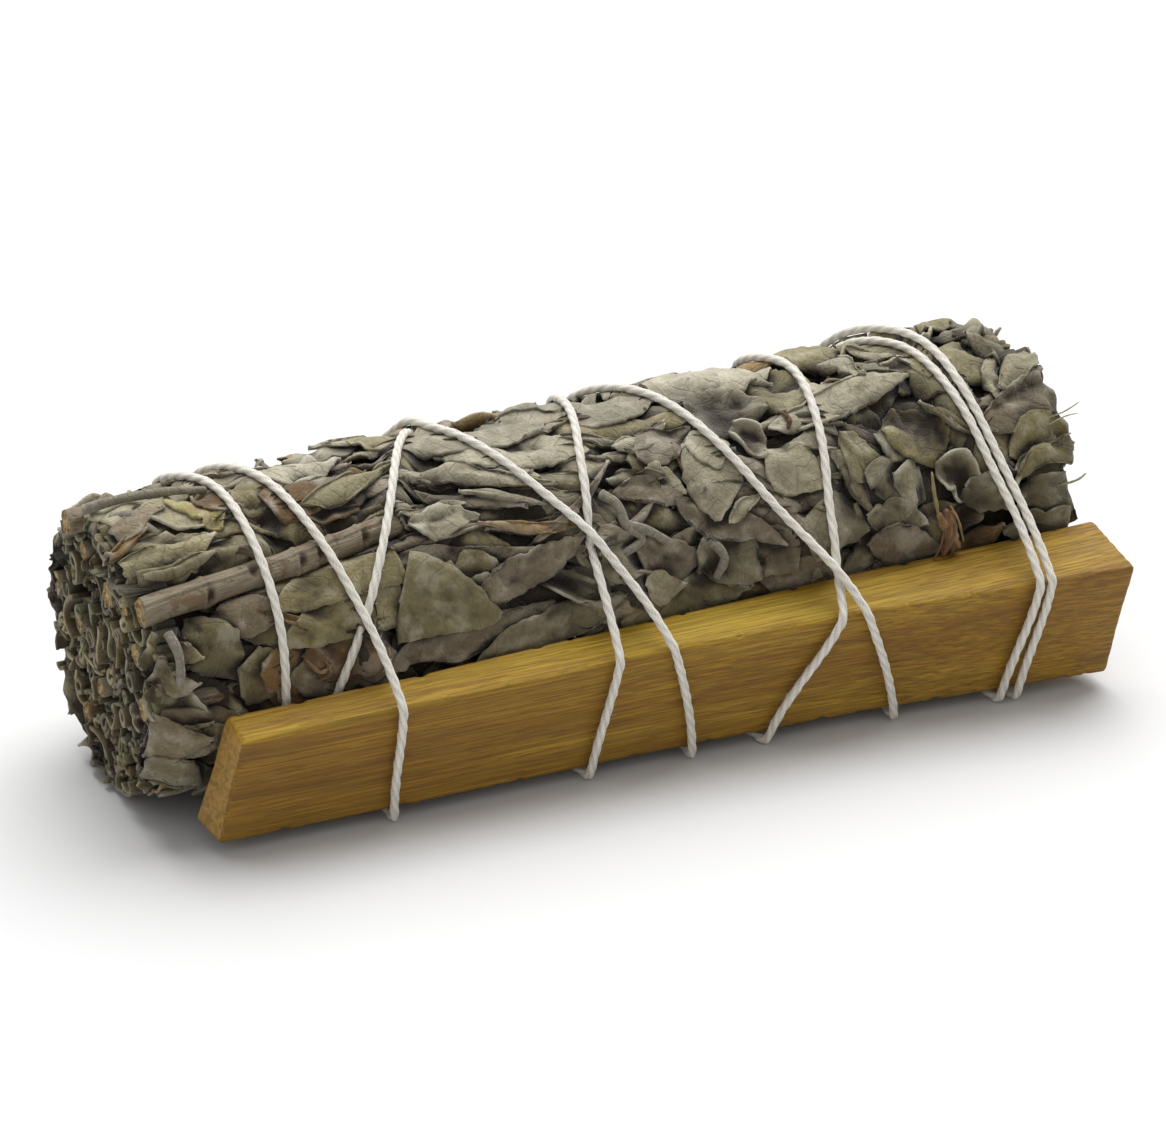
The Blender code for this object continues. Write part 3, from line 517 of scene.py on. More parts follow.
def bent_sheet(row, kind, draw):
    """A leaf before it is laid down: places s, t on the map and its own relief over its middle
    line. Its section is followed outward from the midrib by an angle that grows with the roll,
    so that y and z are the sums of the angle's cosine and sine. Its half width is a lens along
    the leaf, or stays wide where the bunch is cut across, and scallops run along its edges."""
    s0, phi0, s1, phi1, width = row
    roll, curl, ripple, crumple, twist, wander = KINDS[kind]
    t0, t1 = math.radians(phi0) * MEAN_RADIUS, math.radians(phi1) * MEAN_RADIUS
    length = math.hypot(s1 - s0, t1 - t0)
    along_s, along_t = (s1 - s0) / length, (t1 - t0) / length
    rows = int(np.clip(length / ROW_STEP, 9, 54))
    columns = 13 if width > 3.2 else 11
    u = np.linspace(0, 1, rows)[:, None]
    w = np.linspace(-1, 1, columns)[None, :]
    v = np.sign(w) * np.abs(w) ** 1.25
    lens = u
    if min(s0, s1) < BUNCH_START + 3:
        lens = 0.3 + 0.7 * (u if s0 < s1 else 1 - u)
    if max(s0, s1) > BUNCH_END - 3:
        lens = 0.72 * (u if s0 < s1 else 1 - u)
    phase = draw.uniform(0, 6.3, 12)
    lopsided = 1 + 0.16 * np.sin(math.pi * u + phase[0]) * np.sign(v)
    scallops = 0.10 * np.sin(2 * math.pi * length * u / 1.7 + phase[1])
    scallops = scallops + 0.08 * np.sin(2 * math.pi * length * u / 1.2 + phase[2] * np.sign(v))
    scallops = scallops * (0.9 if kind in ("pad", "flat", "creased") else 0.4)
    notch = draw.uniform(0.0, 0.45) * np.exp(-((u - draw.uniform(0.25, 0.9)) / 0.05) ** 2)
    notch = notch * (np.sign(v) == draw.choice((-1, 1)))
    half = width / 2 * (0.05 + 0.95 * np.sin(math.pi * np.clip(lens, 0, 1) ** 0.85) ** 0.9)
    if kind == "wedge":
        half = width / 2 * (0.04 + smooth_step(u / 0.06) * (1 - u) ** 0.65)
    half = half * lopsided * (1 - notch) + scallops
    half = np.maximum(half, 0.1)
    rolled = math.radians(roll) / 2 * (0.8 + 0.3 * np.sin(2.5 * u + phase[3]))
    rim = np.sign(v) * smooth_step((np.abs(v) - 0.55) / 0.45)
    angle = rolled * v + math.radians(curl) * rim * (0.9 + 0.5 * np.sin(3 * u + phase[11]))
    angle = angle + math.radians(0.3 * twist) * np.sin(math.pi * 1.5 * u + phase[4])
    middle = columns // 2
    between = (angle[:, 1:] + angle[:, :-1]) / 2
    step = np.diff(v)
    y = np.concatenate([np.zeros((rows, 1)), np.cumsum(np.cos(between) * step, axis=1)], axis=1)
    z = np.concatenate([np.zeros((rows, 1)), np.cumsum(np.sin(between) * step, axis=1)], axis=1)
    y = (y - y[:, middle:middle + 1]) * half
    z = (z - z[:, middle:middle + 1]) * half
    across = v * half
    z = z + ripple * np.abs(v) ** 1.5 * np.sin(2 * math.pi * length * u / 5.0 + phase[5] * np.sign(v))
    for turn, wave, share in ((0.3, 3.6, 0.55), (1.4, 2.7, 0.35), (2.5, 4.8, 0.6)):
        heading = turn + phase[6] / 3
        place = (length * u * math.cos(heading) + across * math.sin(heading)) / wave
        z = z + crumple * share * crease(2 * math.pi * place + phase[7] + turn * 5)
    z = z + draw.choice((-0.16, 0.14, 0.2)) * np.exp(-(across / 0.4) ** 2) * (1 - u * 0.6)
    z = z + 0.3 * wander * np.sin(5.0 * u + phase[8])
    z = z + 0.05 * np.sin(4.1 * across + phase[9]) * np.sin(3.6 * length * u + phase[10])
    y = y + wander * np.sin(math.pi * u) * math.sin(phase[9]) + 0.4 * wander * np.sin(6 * u + phase[10])
    s = s0 + along_s * length * u - along_t * y
    t = t0 + along_t * length * u + along_s * y
    return {"s": s, "t": t, "h": z, "along": length * u + 0 * v, "across": across}


def lay_down(leaf, heights, soft, close):
    """Lay a leaf on the pile. It follows the pile's soft shape, is lifted until about half of it
    touches, and is pushed up smoothly wherever the pile would still come through it."""
    s = np.clip(leaf["s"], BUNCH_START - 0.7, BUNCH_END + 1.0)
    t = leaf["t"]
    bed = read_map(soft, s, t)
    touch = read_map(close, s, t) + LEAF_THICKNESS + 0.03
    h = bed + leaf["h"]
    h = h + np.clip(np.quantile(touch - h, 0.5), -0.5, 2.0)
    over = np.clip((h - touch) / TOUCH_SOFTNESS, -40, 40)
    h = touch + TOUCH_SOFTNESS * np.logaddexp(0, over)
    leaf.update(s=s, h=h)
    raise_map(heights, s, t, h)


def random_rows(count, lengths, widths, kinds, draw):
    """Leaves spread evenly round the bunch by the golden angle, mostly along it, and turned more
    freely towards its leafy end."""
    for index in range(count):
        middle = BUNCH_START + (BUNCH_END - BUNCH_START) * ((index * 0.7548777) % 1.0)
        angle = (index * 137.508 + draw.uniform(-15, 15)) % 360
        length = draw.uniform(*lengths)
        width = draw.uniform(*widths)
        loose = 0.35 + 0.5 * smooth_step((middle + 10) / 40)
        lean = draw.normal(0, loose)
        ds = length / 2 * math.cos(lean)
        dphi = math.degrees(length / 2 * math.sin(lean) / MEAN_RADIUS)
        low, high = middle - ds, middle + ds
        low = max(low, BUNCH_START + draw.uniform(-0.5, 0.6))
        high = min(high, BUNCH_END + draw.uniform(-1.0, 1.6))
        if high - low < 3:
            continue
        kind = kinds[int(draw.integers(len(kinds)))]
        if draw.random() < 0.5:
            yield (low, angle - dphi, high, angle + dphi, width), kind
        else:
            yield (high, angle + dphi, low, angle - dphi, width), kind


# The layers laid at random, lowest first: how many leaves are tried, the range of their lengths
# and of their widths, how much narrower a tube or strip is, and their kinds
RANDOM_LAYERS = {
    "under": (120, (16, 28), (7, 12), 1.0, ("pad", "shell", "creased")),
    "middle": (190, (9, 20), (4.5, 8.5), 0.55,
               ("pad", "shell", "shell", "tube", "creased", "strip", "trough")),
    "top": (170, (7, 16), (4.0, 7.5), 0.6,
            ("pad", "pad", "shell", "tube", "creased", "strip", "shell")),
}
COMMON_TINTS = ("grey", "grey", "mauve", "silver", "green", "pale", "grey", "olive", "mauve",
                "silver", "tan")


def pile_up():
    """All leaves, from the lowest layer to the leaves that show most, as lists for each layer."""
    draw = np.random.default_rng(23)
    s = (MAP_START + CELL * np.arange(MAP_ROWS))[:, None]
    t = (ARC_ROUND / MAP_COLUMNS * np.arange(MAP_COLUMNS))[None, :]
    heights = -PILE_DEPTH + 0.25 * np.sin(1.3 * s + 0.9 * t) * np.sin(0.8 * s - 1.1 * t)
    rows = []
    for layer, (count, lengths, widths, narrow, kinds) in RANDOM_LAYERS.items():
        for (*ends, width), kind in random_rows(count, lengths, widths, kinds, draw):
            width = width * (narrow if kind in ("tube", "strip") else 1.0)
            tint = COMMON_TINTS[int(draw.integers(len(COMMON_TINTS)))]
            rows.append((layer, (*ends, width), kind, tint))
    for *row, kind, tint in SHOWN_LEAVES:
        rows.append(("shown", tuple(row), kind, tint))
    layers = {}
    for index, (layer, row, kind, tint) in enumerate(rows):
        if index % 4 == 0 or layer == "shown":
            soft = blurred(heights, STIFF_BLUR)
            close = blurred(heights, TOUCH_BLUR)
        leaf = bent_sheet(row, kind, draw)
        leaf.update(tint=tint, seed=draw.random(), shade=draw.uniform(0.88, 1.1))
        lay_down(leaf, heights, soft, close)
        layers.setdefault(layer, []).append(leaf)
    return layers, heights


def spread_highest(heights, reach):
    """Each cell takes the highest value within reach, one direction after the other."""
    for axis in (0, 1):
        highest = heights
        for step in range(1, int(reach / CELL) + 1):
            highest = np.maximum(highest, np.maximum(np.roll(heights, step, axis),
                                                     np.roll(heights, -step, axis)))
        heights = highest
    return heights


LAYERS, PILE = pile_up()
ENVELOPE = blurred(spread_highest(PILE, 1.25), 1.6)
CLOSE_MEAN = blurred(PILE, 0.45)
WIDE_MEAN = blurred(PILE, 1.3)


def pressed(s, t, h):
    """Heights after the string is pulled tight: the pile is squeezed in proportion, so that its
    upper hull comes to the limit."""
    hull = read_map(ENVELOPE, s, t)
    limit = read_map(LIMIT, s, t)
    squeezed = -PILE_DEPTH + (h + PILE_DEPTH) * (limit + PILE_DEPTH) / (hull + PILE_DEPTH)
    room = (limit - squeezed) * read_map(LOOSENESS, s, t)
    return limit - PRESS_SOFTNESS * np.logaddexp(0, np.clip(room / PRESS_SOFTNESS, -40, 80))


def linear(code, alpha=1.0):
    """A colour for the shaders from its sRGB hex code."""
    parts = np.array([int(code[i:i + 2], 16) for i in (1, 3, 5)]) / 255
    parts = np.where(parts <= 0.04045, parts / 12.92, ((parts + 0.055) / 1.055) ** 2.4)
    return (*parts.tolist(), alpha)


def add_piece(name, points, quads, material, uv=None, colours=None, numbers=None):
    """An object at the origin from points in mm and faces of four corners, shaded smooth. uv,
    colours and numbers give a value for each point."""
    mesh = bpy.data.meshes.new(name)
    mesh.vertices.add(len(points))
    mesh.vertices.foreach_set("co", (np.asarray(points) * MM).ravel())
    mesh.loops.add(quads.size)
    mesh.loops.foreach_set("vertex_index", quads.ravel().astype(np.int32))
    mesh.polygons.add(len(quads))
    mesh.polygons.foreach_set("loop_start", np.arange(0, quads.size, 4, dtype=np.int32))
    mesh.update(calc_edges=True)
    mesh.shade_smooth()
    if uv is not None:
        layer = mesh.uv_layers.new(name="surface_mm")
        layer.data.foreach_set("uv", uv[quads.ravel()].astype(np.float32).ravel())
    for label, values in (colours or {}).items():
        attribute = mesh.attributes.new(label, "FLOAT_COLOR", "POINT")
        attribute.data.foreach_set("color", values.astype(np.float32).ravel())
    for label, values in (numbers or {}).items():
        attribute = mesh.attributes.new(label, "FLOAT", "POINT")
        attribute.data.foreach_set("value", values.astype(np.float32).ravel())
    mesh.materials.append(material)
    made = bpy.data.objects.new(name, mesh)
    bpy.context.scene.collection.objects.link(made)
    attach(made, "root")
    return made


def new_material(name):
    """An empty material with its output and shader, as (material, node tree, shader)."""
    made = bpy.data.materials.new(name)
    made.use_nodes = True
    tree = made.node_tree
    return made, tree, tree.nodes["Principled BSDF"]


def add_node(tree, kind, settings, inputs):
    """One shader node, with its own settings and its inputs, each a value or an output that is
    linked to it. The stops of a ramp are given as places and hex colours."""
    made = tree.nodes.new("ShaderNode" + kind)
    for key, value in settings.items():
        if key == "stops":
            while len(made.color_ramp.elements) < len(value):
                made.color_ramp.elements.new(1.0)
            for element, (place, code) in zip(made.color_ramp.elements, value):
                element.position = place
                element.color = linear(code)
        else:
            setattr(made, key, value)
    for key, value in inputs.items():
        if isinstance(value, bpy.types.NodeSocket):
            tree.links.new(value, made.inputs[key])
        else:
            made.inputs[key].default_value = value
    return made


def dried_sage_leaf():
    """Dried white sage leaf: matte, felted with short white hairs that lie as a pale bloom on the
    high spots, a fine net of veins, and a slightly pebbled skin. The bloom where an edge stands up
    is also a painted highlight, and places that lie deep are darkened as painted shade. Colours
    come with each leaf."""
    made, tree, shader = new_material("dried_sage_leaf")
    tint = add_node(tree, "Attribute", {"attribute_name": "leaf_tint"}, {}).outputs["Color"]
    seed = add_node(tree, "Attribute", {"attribute_name": "leaf_seed"}, {}).outputs["Fac"]
    depth = add_node(tree, "Attribute", {"attribute_name": "leaf_depth"}, {}).outputs["Fac"]
    rim = add_node(tree, "Attribute", {"attribute_name": "leaf_rim"}, {}).outputs["Fac"]
    uv = add_node(tree, "UVMap", {"uv_map": "surface_mm"}, {}).outputs["UV"]
    parts = add_node(tree, "SeparateXYZ", {}, {0: uv})
    along, across = parts.outputs["X"], parts.outputs["Y"]
    side = add_node(tree, "Math", {"operation": "ABSOLUTE"}, {0: across}).outputs[0]
    slant = add_node(tree, "Math", {"operation": "MULTIPLY_ADD"},
                     {0: side, 1: -0.75, 2: along}).outputs[0]
    spot = add_node(tree, "Math", {"operation": "MULTIPLY"}, {0: seed, 1: 60.0}).outputs[0]
    place = add_node(tree, "CombineXYZ", {}, {0: along, 1: across, 2: spot}).outputs[0]
    bent = add_node(tree, "TexNoise", {}, {"Vector": place, "Scale": 0.35, "Detail": 2.0})
    bent = add_node(tree, "Math", {"operation": "MULTIPLY_ADD"},
                    {0: bent.outputs[0], 1: 2.2, 2: slant}).outputs[0]
    # side veins leave the midrib every 2.3 mm
    rib = add_node(tree, "Math", {"operation": "MULTIPLY"}, {0: bent, 1: math.pi / 2.3}).outputs[0]
    rib = add_node(tree, "Math", {"operation": "SINE"}, {0: rib}).outputs[0]
    rib = add_node(tree, "Math", {"operation": "ABSOLUTE"}, {0: rib}).outputs[0]
    rib = add_node(tree, "MapRange", {"interpolation_type": "SMOOTHSTEP"},
                   {0: rib, 1: 0.0, 2: 0.22, 3: 1.0, 4: 0.0}).outputs[0]
    # the net between them has meshes of 0.9 mm
    net = add_node(tree, "TexVoronoi", {"feature": "DISTANCE_TO_EDGE"},
                   {"Vector": place, "Scale": 1.1, "Randomness": 0.9}).outputs["Distance"]
    net = add_node(tree, "MapRange", {"interpolation_type": "SMOOTHSTEP"},
                   {0: net, 1: 0.0, 2: 0.16, 3: 1.0, 4: 0.0}).outputs[0]
    veins = add_node(tree, "Math", {"operation": "MULTIPLY_ADD"},
                     {0: net, 1: 0.45, 2: rib}).outputs[0]
    mottle = add_node(tree, "TexNoise", {}, {"Vector": place, "Scale": 0.45, "Detail": 4.0})
    felt = add_node(tree, "TexNoise", {}, {"Vector": place, "Scale": 2.6, "Detail": 5.0,
                                           "Roughness": 0.7})
    light = add_node(tree, "MapRange", {}, {0: mottle.outputs[0], 1: 0.3, 2: 0.7, 3: 0.84, 4: 1.14})
    dots = add_node(tree, "MapRange", {}, {0: felt.outputs[0], 1: 0.3, 2: 0.7, 3: 0.76, 4: 1.22})
    light = add_node(tree, "Math", {"operation": "MULTIPLY"},
                     {0: light.outputs[0], 1: dots.outputs[0]}).outputs[0]
    body = add_node(tree, "VectorMath", {"operation": "SCALE"}, {0: tint, "Scale": light}).outputs[0]
    vein_share = add_node(tree, "Math", {"operation": "MULTIPLY"}, {0: veins, 1: 0.14}).outputs[0]
    body = add_node(tree, "Mix", {"data_type": "RGBA"},
                    {0: vein_share, 6: body, 7: linear("#565044")}).outputs[2]
    bloom = add_node(tree, "MapRange", {"interpolation_type": "SMOOTHSTEP"},
                     {0: mottle.outputs[0], 1: 0.48, 2: 0.68, 3: 0.0, 4: 0.22}).outputs[0]
    # more bloom where an edge stands up: bloom on the ridges, and also a painted highlight; none where
    # the painted shade is deep
    bloom = add_node(tree, "Math", {"operation": "MULTIPLY_ADD"}, {0: rim, 1: 0.3, 2: bloom})
    bloom = add_node(tree, "MapRange", {},
                     {0: depth, 1: 0.0, 2: 0.5, 3: bloom.outputs[0], 4: 0.0}).outputs[0]
    body = add_node(tree, "Mix", {"data_type": "RGBA"},
                    {0: bloom, 6: body, 7: linear("#CBC8BA")}).outputs[2]
    # painted shade: places that lie deep are darkened towards dark brown
    shade = add_node(tree, "MapRange", {}, {0: depth, 1: 0.0, 2: 0.9, 3: 0.0, 4: 0.97}).outputs[0]
    body = add_node(tree, "Mix", {"data_type": "RGBA"},
                    {0: shade, 6: body, 7: linear("#261A0B")}).outputs[2]
    relief = add_node(tree, "Bump", {"invert": True},
                      {"Height": veins, "Distance": 0.00014, "Strength": 0.6})
    relief = add_node(tree, "Bump", {}, {"Height": mottle.outputs[0], "Distance": 0.0005,
                                         "Strength": 0.4, "Normal": relief.outputs[0]})
    relief = add_node(tree, "Bump", {}, {"Height": felt.outputs[0], "Distance": 0.0003,
                                         "Strength": 0.6, "Normal": relief.outputs[0]})
    tree.links.new(body, shader.inputs["Base Color"])
    tree.links.new(relief.outputs[0], shader.inputs["Normal"])
    shader.inputs["Roughness"].default_value = 0.78
    shader.inputs["Sheen Weight"].default_value = 0.22
    shader.inputs["Sheen Roughness"].default_value = 0.45
    return made


LEAF_MATERIAL = dried_sage_leaf()


def thin_sheet(upper, thickness, rows, columns):
    """Points of a closed sheet: the upper grid, and the same grid moved in along its normals by
    the sheet's thickness."""
    grid = upper.reshape(rows, columns, 3)
    normal = np.cross(np.gradient(grid, axis=1), np.gradient(grid, axis=0))
    length = np.linalg.norm(normal, axis=-1, keepdims=True)
    normal = normal / np.maximum(length, 1e-9)
    return np.concatenate([grid.reshape(-1, 3), (grid - normal * thickness).reshape(-1, 3)])


def tone_and_painted_light(s, phi):
    """How light and how brown leaves are for their place, as a factor for each colour: lighter and
    more silver along the top as painted light from above, darker and yellower low at the front as
    painted shade, and duller towards both ends."""
    top = np.maximum(np.cos(phi - math.radians(78)), 0)[..., None] ** 4
    low = np.maximum(np.cos(phi - math.radians(172)), 0)[..., None] ** 2
    end = smooth_step((s - 20) / 22)[..., None]
    start = smooth_step((-30 - s) / 14)[..., None]
    factor = 1 + top * np.array([0.46, 0.48, 0.56, 0])
    factor = factor * (1 - low * np.array([0.12, 0.16, 0.30, 0]))
    factor = factor * (1 - end * np.array([0.20, 0.21, 0.30, 0]))
    return factor * (1 - start * np.array([0.06, 0.10, 0.26, 0]))


def dried_leaf_piece(name, parts):
    """One object from parts that are all dried leaf. A part is its points, faces, uv and tint,
    and its leaf_seed, leaf_depth and leaf_rim by name, each for every point or one for all."""
    labels = ("leaf_seed", "leaf_depth", "leaf_rim")
    gathered = {label: [] for label in ("points", "quads", "uv", "leaf_tint") + labels}
    first = 0
    for points, quads, uv, tint, numbers in parts:
        gathered["points"].append(points)
        gathered["quads"].append(quads + first)
        gathered["uv"].append(uv)
        gathered["leaf_tint"].append(np.broadcast_to(tint, (len(points), 4)))
        for label in labels:
            gathered[label].append(np.broadcast_to(numbers.get(label, 0.0), len(points)))
        first += len(points)
    whole = {label: np.concatenate(values) for label, values in gathered.items()}
    piece = add_piece(name, whole["points"], whole["quads"], LEAF_MATERIAL, uv=whole["uv"],
                      colours={"leaf_tint": whole["leaf_tint"]},
                      numbers={label: whole[label] for label in labels})
    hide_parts("sage_leaves")


# A leaf gets painted shade, darkened towards dark brown, where it lies this far below the limit,
# or below the pile beside it, close by and further round: where that starts, how far it takes to
# the full effect, and the most it does
SHADE_BELOW_LIMIT = (0.7, 1.9, 1.0)
SHADE_BELOW_CLOSE = (0.04, 0.38, 0.75)
SHADE_BELOW_WIDE = (0.18, 1.1, 0.5)


def leaf_part(leaf):
    """One leaf pressed into the bunch, with its colour, the painted shade for how deep it lies, and
    how far its edges stand above what is beside them."""
    s, t = leaf["s"], leaf["t"]
    h = pressed(s, t, leaf["h"])
    beside = read_map(CLOSE_MEAN, s, t) - leaf["h"]
    gaps = (read_map(LIMIT, s, t) - h, beside, read_map(WIDE_MEAN, s, t) - leaf["h"])
    # painted shade from how far the leaf lies below the limit and below the pile beside it
    depth = 0
    for gap, (start, span, most) in zip(gaps, (SHADE_BELOW_LIMIT, SHADE_BELOW_CLOSE, SHADE_BELOW_WIDE)):
        depth = depth + np.clip((gap - start) / span, 0, most)
    depth = np.clip(depth, 0, 1)
    # how far an edge stands up, for the bloom and its painted highlight
    rim = np.clip(-(beside + 0.1) / 0.3, 0, 1)
    phi = t / MEAN_RADIUS
    sheet = thin_sheet(bunch_point(s, phi, bunch_radius(s) + h), LEAF_THICKNESS, *s.shape)
    sheet[:, 2] = np.maximum(sheet[:, 2], FLOOR_CLEARANCE)
    uv = np.tile(np.stack([leaf["along"], leaf["across"]], -1).reshape(-1, 2), (2, 1))
    # the leaf's tint, with painted light along the top and painted shade low at the front
    tint = np.array(linear(TINTS[leaf["tint"]])) * leaf["shade"] * tone_and_painted_light(s, phi)
    return sheet, sheet_quads(*s.shape), uv, np.tile(tint.reshape(-1, 4), (2, 1)), {
        "leaf_seed": leaf["seed"], "leaf_depth": np.tile(depth.ravel(), 2),
        "leaf_rim": np.tile(rim.ravel(), 2)}


for layer in ("under", "middle", "top"):
    for half, word in enumerate(("odd", "even")):
        dried_leaf_piece("leaves_%s_%s" % (layer, word),
                         [leaf_part(leaf) for leaf in LAYERS[layer][half::2]])
dried_leaf_piece("leaves_shown", [leaf_part(leaf) for leaf in LAYERS["shown"]])


# The imported middle. Under the leaves that show, the bundle is a tight mass of more of the same,
# which shows only as dark gaps, coloured far darker than the leaves as painted shade. It is one
# turned body, closed at both ends.
CORE_START = -50.6
CORE_END = 47.4
CORE_DEPTH = 3.3
CORE_RINGS = 120
CORE_SIDES = 120


def tube_quads(rows, around):
    """Faces of a tube whose rings follow each other, each counted right-handed about the way on.
    They point outward, and the first and last ring are filled by strips across them."""
    grid = np.arange(rows * around).reshape(rows, around)
    ahead = np.roll(grid, -1, axis=1)
    wall = np.stack([grid[:-1], ahead[:-1], ahead[1:], grid[1:]], -1).reshape(-1, 4)
    k = np.arange(around // 2 - 1)
    lid = np.stack([k, k + 1, around - 2 - k, around - 1 - k], -1)
    return np.concatenate([lid[:, ::-1], wall, lid + (rows - 1) * around])


def packed_core():
    """A turned body: its radius is the bunch's less the pile's depth, with low lumps, and runs in
    to the axis at both ends."""
    x = np.concatenate([np.full(3, CORE_START), np.linspace(CORE_START, CORE_END, CORE_RINGS),
                        np.full(3, CORE_END)])
    share = np.concatenate([[0.002, 0.4, 0.8], np.ones(CORE_RINGS), [0.8, 0.4, 0.002]])
    phi = np.linspace(0, 2 * math.pi, CORE_SIDES, endpoint=False)
    lumps = 0.25 * np.sin(0.7 * x[:, None] + 6 * np.sin(phi)) * np.sin(9 * phi + 0.3 * x[:, None])
    radius = (bunch_radius(x)[:, None] - CORE_DEPTH + lumps) * share[:, None]
    points = bunch_point(x[:, None], phi[None, :], radius).reshape(-1, 3)
    made, tree, shader = new_material("packed_sage_painted_shade")
    where = add_node(tree, "TexCoord", {}, {}).outputs["Object"]
    noise = add_node(tree, "TexNoise", {}, {"Vector": where, "Scale": 900.0, "Detail": 5.0})
    # painted shade: the packed leaves are coloured far darker than the leaves over them
    ramp = add_node(tree, "ValToRGB", {"stops": ((0.3, "#1E1910"), (0.7, "#4A4332"))},
                    {0: noise.outputs[0]})
    tree.links.new(ramp.outputs[0], shader.inputs["Base Color"])
    relief = add_node(tree, "Bump", {}, {"Height": noise.outputs[0], "Distance": 0.0006})
    tree.links.new(relief.outputs[0], shader.inputs["Normal"])
    shader.inputs["Roughness"].default_value = 0.9
    piece = add_piece("packed_core", points, tube_quads(len(x), len(phi)), made)
    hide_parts("sage_leaves")


packed_core()


# The cut stems. Twelve woody sage stems show at the cut end, each a thin grey bark over straw
# wood and pale pith. The thickest lies on the bundle's side, with rings and scars where leaves
# grew. They were cut across with the leaves, and stay in the bundle by the string's pull.
# For each: the x where it starts, its length, its angle there and at its far end, its distance
# from the bunch's axis, and its diameter
STEMS = (
    (*SURFACE_STEM, 14.3, 3.0),
    (-54.2, 22.0, 72, 76, 13.9, 2.6),
    (-52.6, 30.0, 68, 66, 10.7, 2.0),
    (-52.9, 34.0, 14, 12, 12.6, 1.9),
    (-52.2, 52.0, 104, 104, 7.6, 2.7),
    (-52.3, 26.0, 134, 134, 10.6, 1.9),
    (-52.7, 44.0, 8, 8, 6.2, 2.2),
    (-52.4, 46.0, 156, 156, 11.2, 2.4),
    (-52.8, 20.0, 181, 178, 12.9, 2.4),
    (-51.9, 34.0, 201, 201, 12.6, 2.1),
    (-52.9, 48.0, 262, 262, 3.6, 2.0),
    (-52.6, 30.0, 300, 298, 10.4, 2.2),
)
SHOWN_STEM = 1
STEM_TAPER = 0.82
# Rings on the stem that shows, as shares of its length, and its scars with their angles
SURFACE_STEM_RINGS = (0.22, 0.42, 0.56, 0.63, 0.70, 0.80, 0.88)
SURFACE_STEM_SCARS = ((0.24, 0.8), (0.40, -0.2), (0.58, 0.45), (0.65, 0.3), (0.82, 0.5), (0.90, 0.1))


def sage_stem():
    """Dried sage stem: thin grey-brown bark with a mauve cast, fine long wrinkles and pale rings,
    and at the cut a rim of straw wood round a pale pith. The cut and scars are marked on it, and
    the scar mark also carries painted shade in the groove beside each ring."""
    made, tree, shader = new_material("dried_sage_stem")
    cut = add_node(tree, "Attribute", {"attribute_name": "cut_face"}, {}).outputs["Fac"]
    scar = add_node(tree, "Attribute", {"attribute_name": "scar"}, {}).outputs["Fac"]
    uv = add_node(tree, "UVMap", {"uv_map": "surface_mm"}, {}).outputs["UV"]
    where = add_node(tree, "TexCoord", {}, {}).outputs["Object"]
    long = add_node(tree, "Mapping", {}, {"Vector": uv, "Scale": (0.5, 5.0, 1.0)}).outputs[0]
    wrinkle = add_node(tree, "TexNoise", {}, {"Vector": long, "Scale": 1.0, "Detail": 5.0})
    patch = add_node(tree, "TexNoise", {}, {"Vector": where, "Scale": 500.0, "Detail": 3.0})
    bark = add_node(tree, "ValToRGB", {"stops": ((0.30, "#584A36"), (0.50, "#7E6F58"),
                                                 (0.70, "#9E8F76"))}, {0: wrinkle.outputs[0]})
    bark = add_node(tree, "Mix", {"data_type": "RGBA"},
                    {0: patch.outputs[0], 6: bark.outputs[0], 7: linear("#857B67")}).outputs[2]
    peel = add_node(tree, "TexNoise", {}, {"Vector": where, "Scale": 260.0, "Detail": 6.0,
                                           "Roughness": 0.7})
    peel = add_node(tree, "MapRange", {"interpolation_type": "SMOOTHSTEP"},
                    {0: peel.outputs[0], 1: 0.54, 2: 0.60, 3: 0.0, 4: 0.75}).outputs[0]
    bark = add_node(tree, "Mix", {"data_type": "RGBA"},
                    {0: peel, 6: bark, 7: linear("#6E5334")}).outputs[2]
    # dark leaf scars, and painted shade in the groove beside each ring, which comes in the same mark
    bark = add_node(tree, "Mix", {"data_type": "RGBA"},
                    {0: scar, 6: bark, 7: linear("#3B2817")}).outputs[2]
    grain = add_node(tree, "TexNoise", {}, {"Vector": where, "Scale": 2600.0, "Detail": 4.0})
    wood = add_node(tree, "ValToRGB", {"stops": ((0.35, "#5C4220"), (0.5, "#9C7C42"),
                                                 (0.65, "#C8AE74"))}, {0: grain.outputs[0]})
    pith = add_node(tree, "MapRange", {}, {0: cut, 1: 0.75, 2: 1.0, 3: 0.0, 4: 0.8}).outputs[0]
    wood = add_node(tree, "Mix", {"data_type": "RGBA"},
                    {0: pith, 6: wood.outputs[0], 7: linear("#DCCFA4")}).outputs[2]
    inside = add_node(tree, "MapRange", {}, {0: cut, 1: 0.3, 2: 0.45, 3: 0.0, 4: 1.0}).outputs[0]
    colour = add_node(tree, "Mix", {"data_type": "RGBA"}, {0: inside, 6: bark, 7: wood}).outputs[2]
    relief = add_node(tree, "Bump", {}, {"Height": wrinkle.outputs[0], "Distance": 0.0002,
                                         "Strength": 0.9})
    relief = add_node(tree, "Bump", {}, {"Height": peel, "Distance": 0.00015, "Strength": 0.8,
                                         "Normal": relief.outputs[0]})
    relief = add_node(tree, "Bump", {}, {"Height": grain.outputs[0], "Distance": 0.00015,
                                         "Strength": 0.6, "Normal": relief.outputs[0]})
    tree.links.new(colour, shader.inputs["Base Color"])
    tree.links.new(relief.outputs[0], shader.inputs["Normal"])
    shader.inputs["Roughness"].default_value = 0.72
    return made


STEM_MATERIAL = sage_stem()


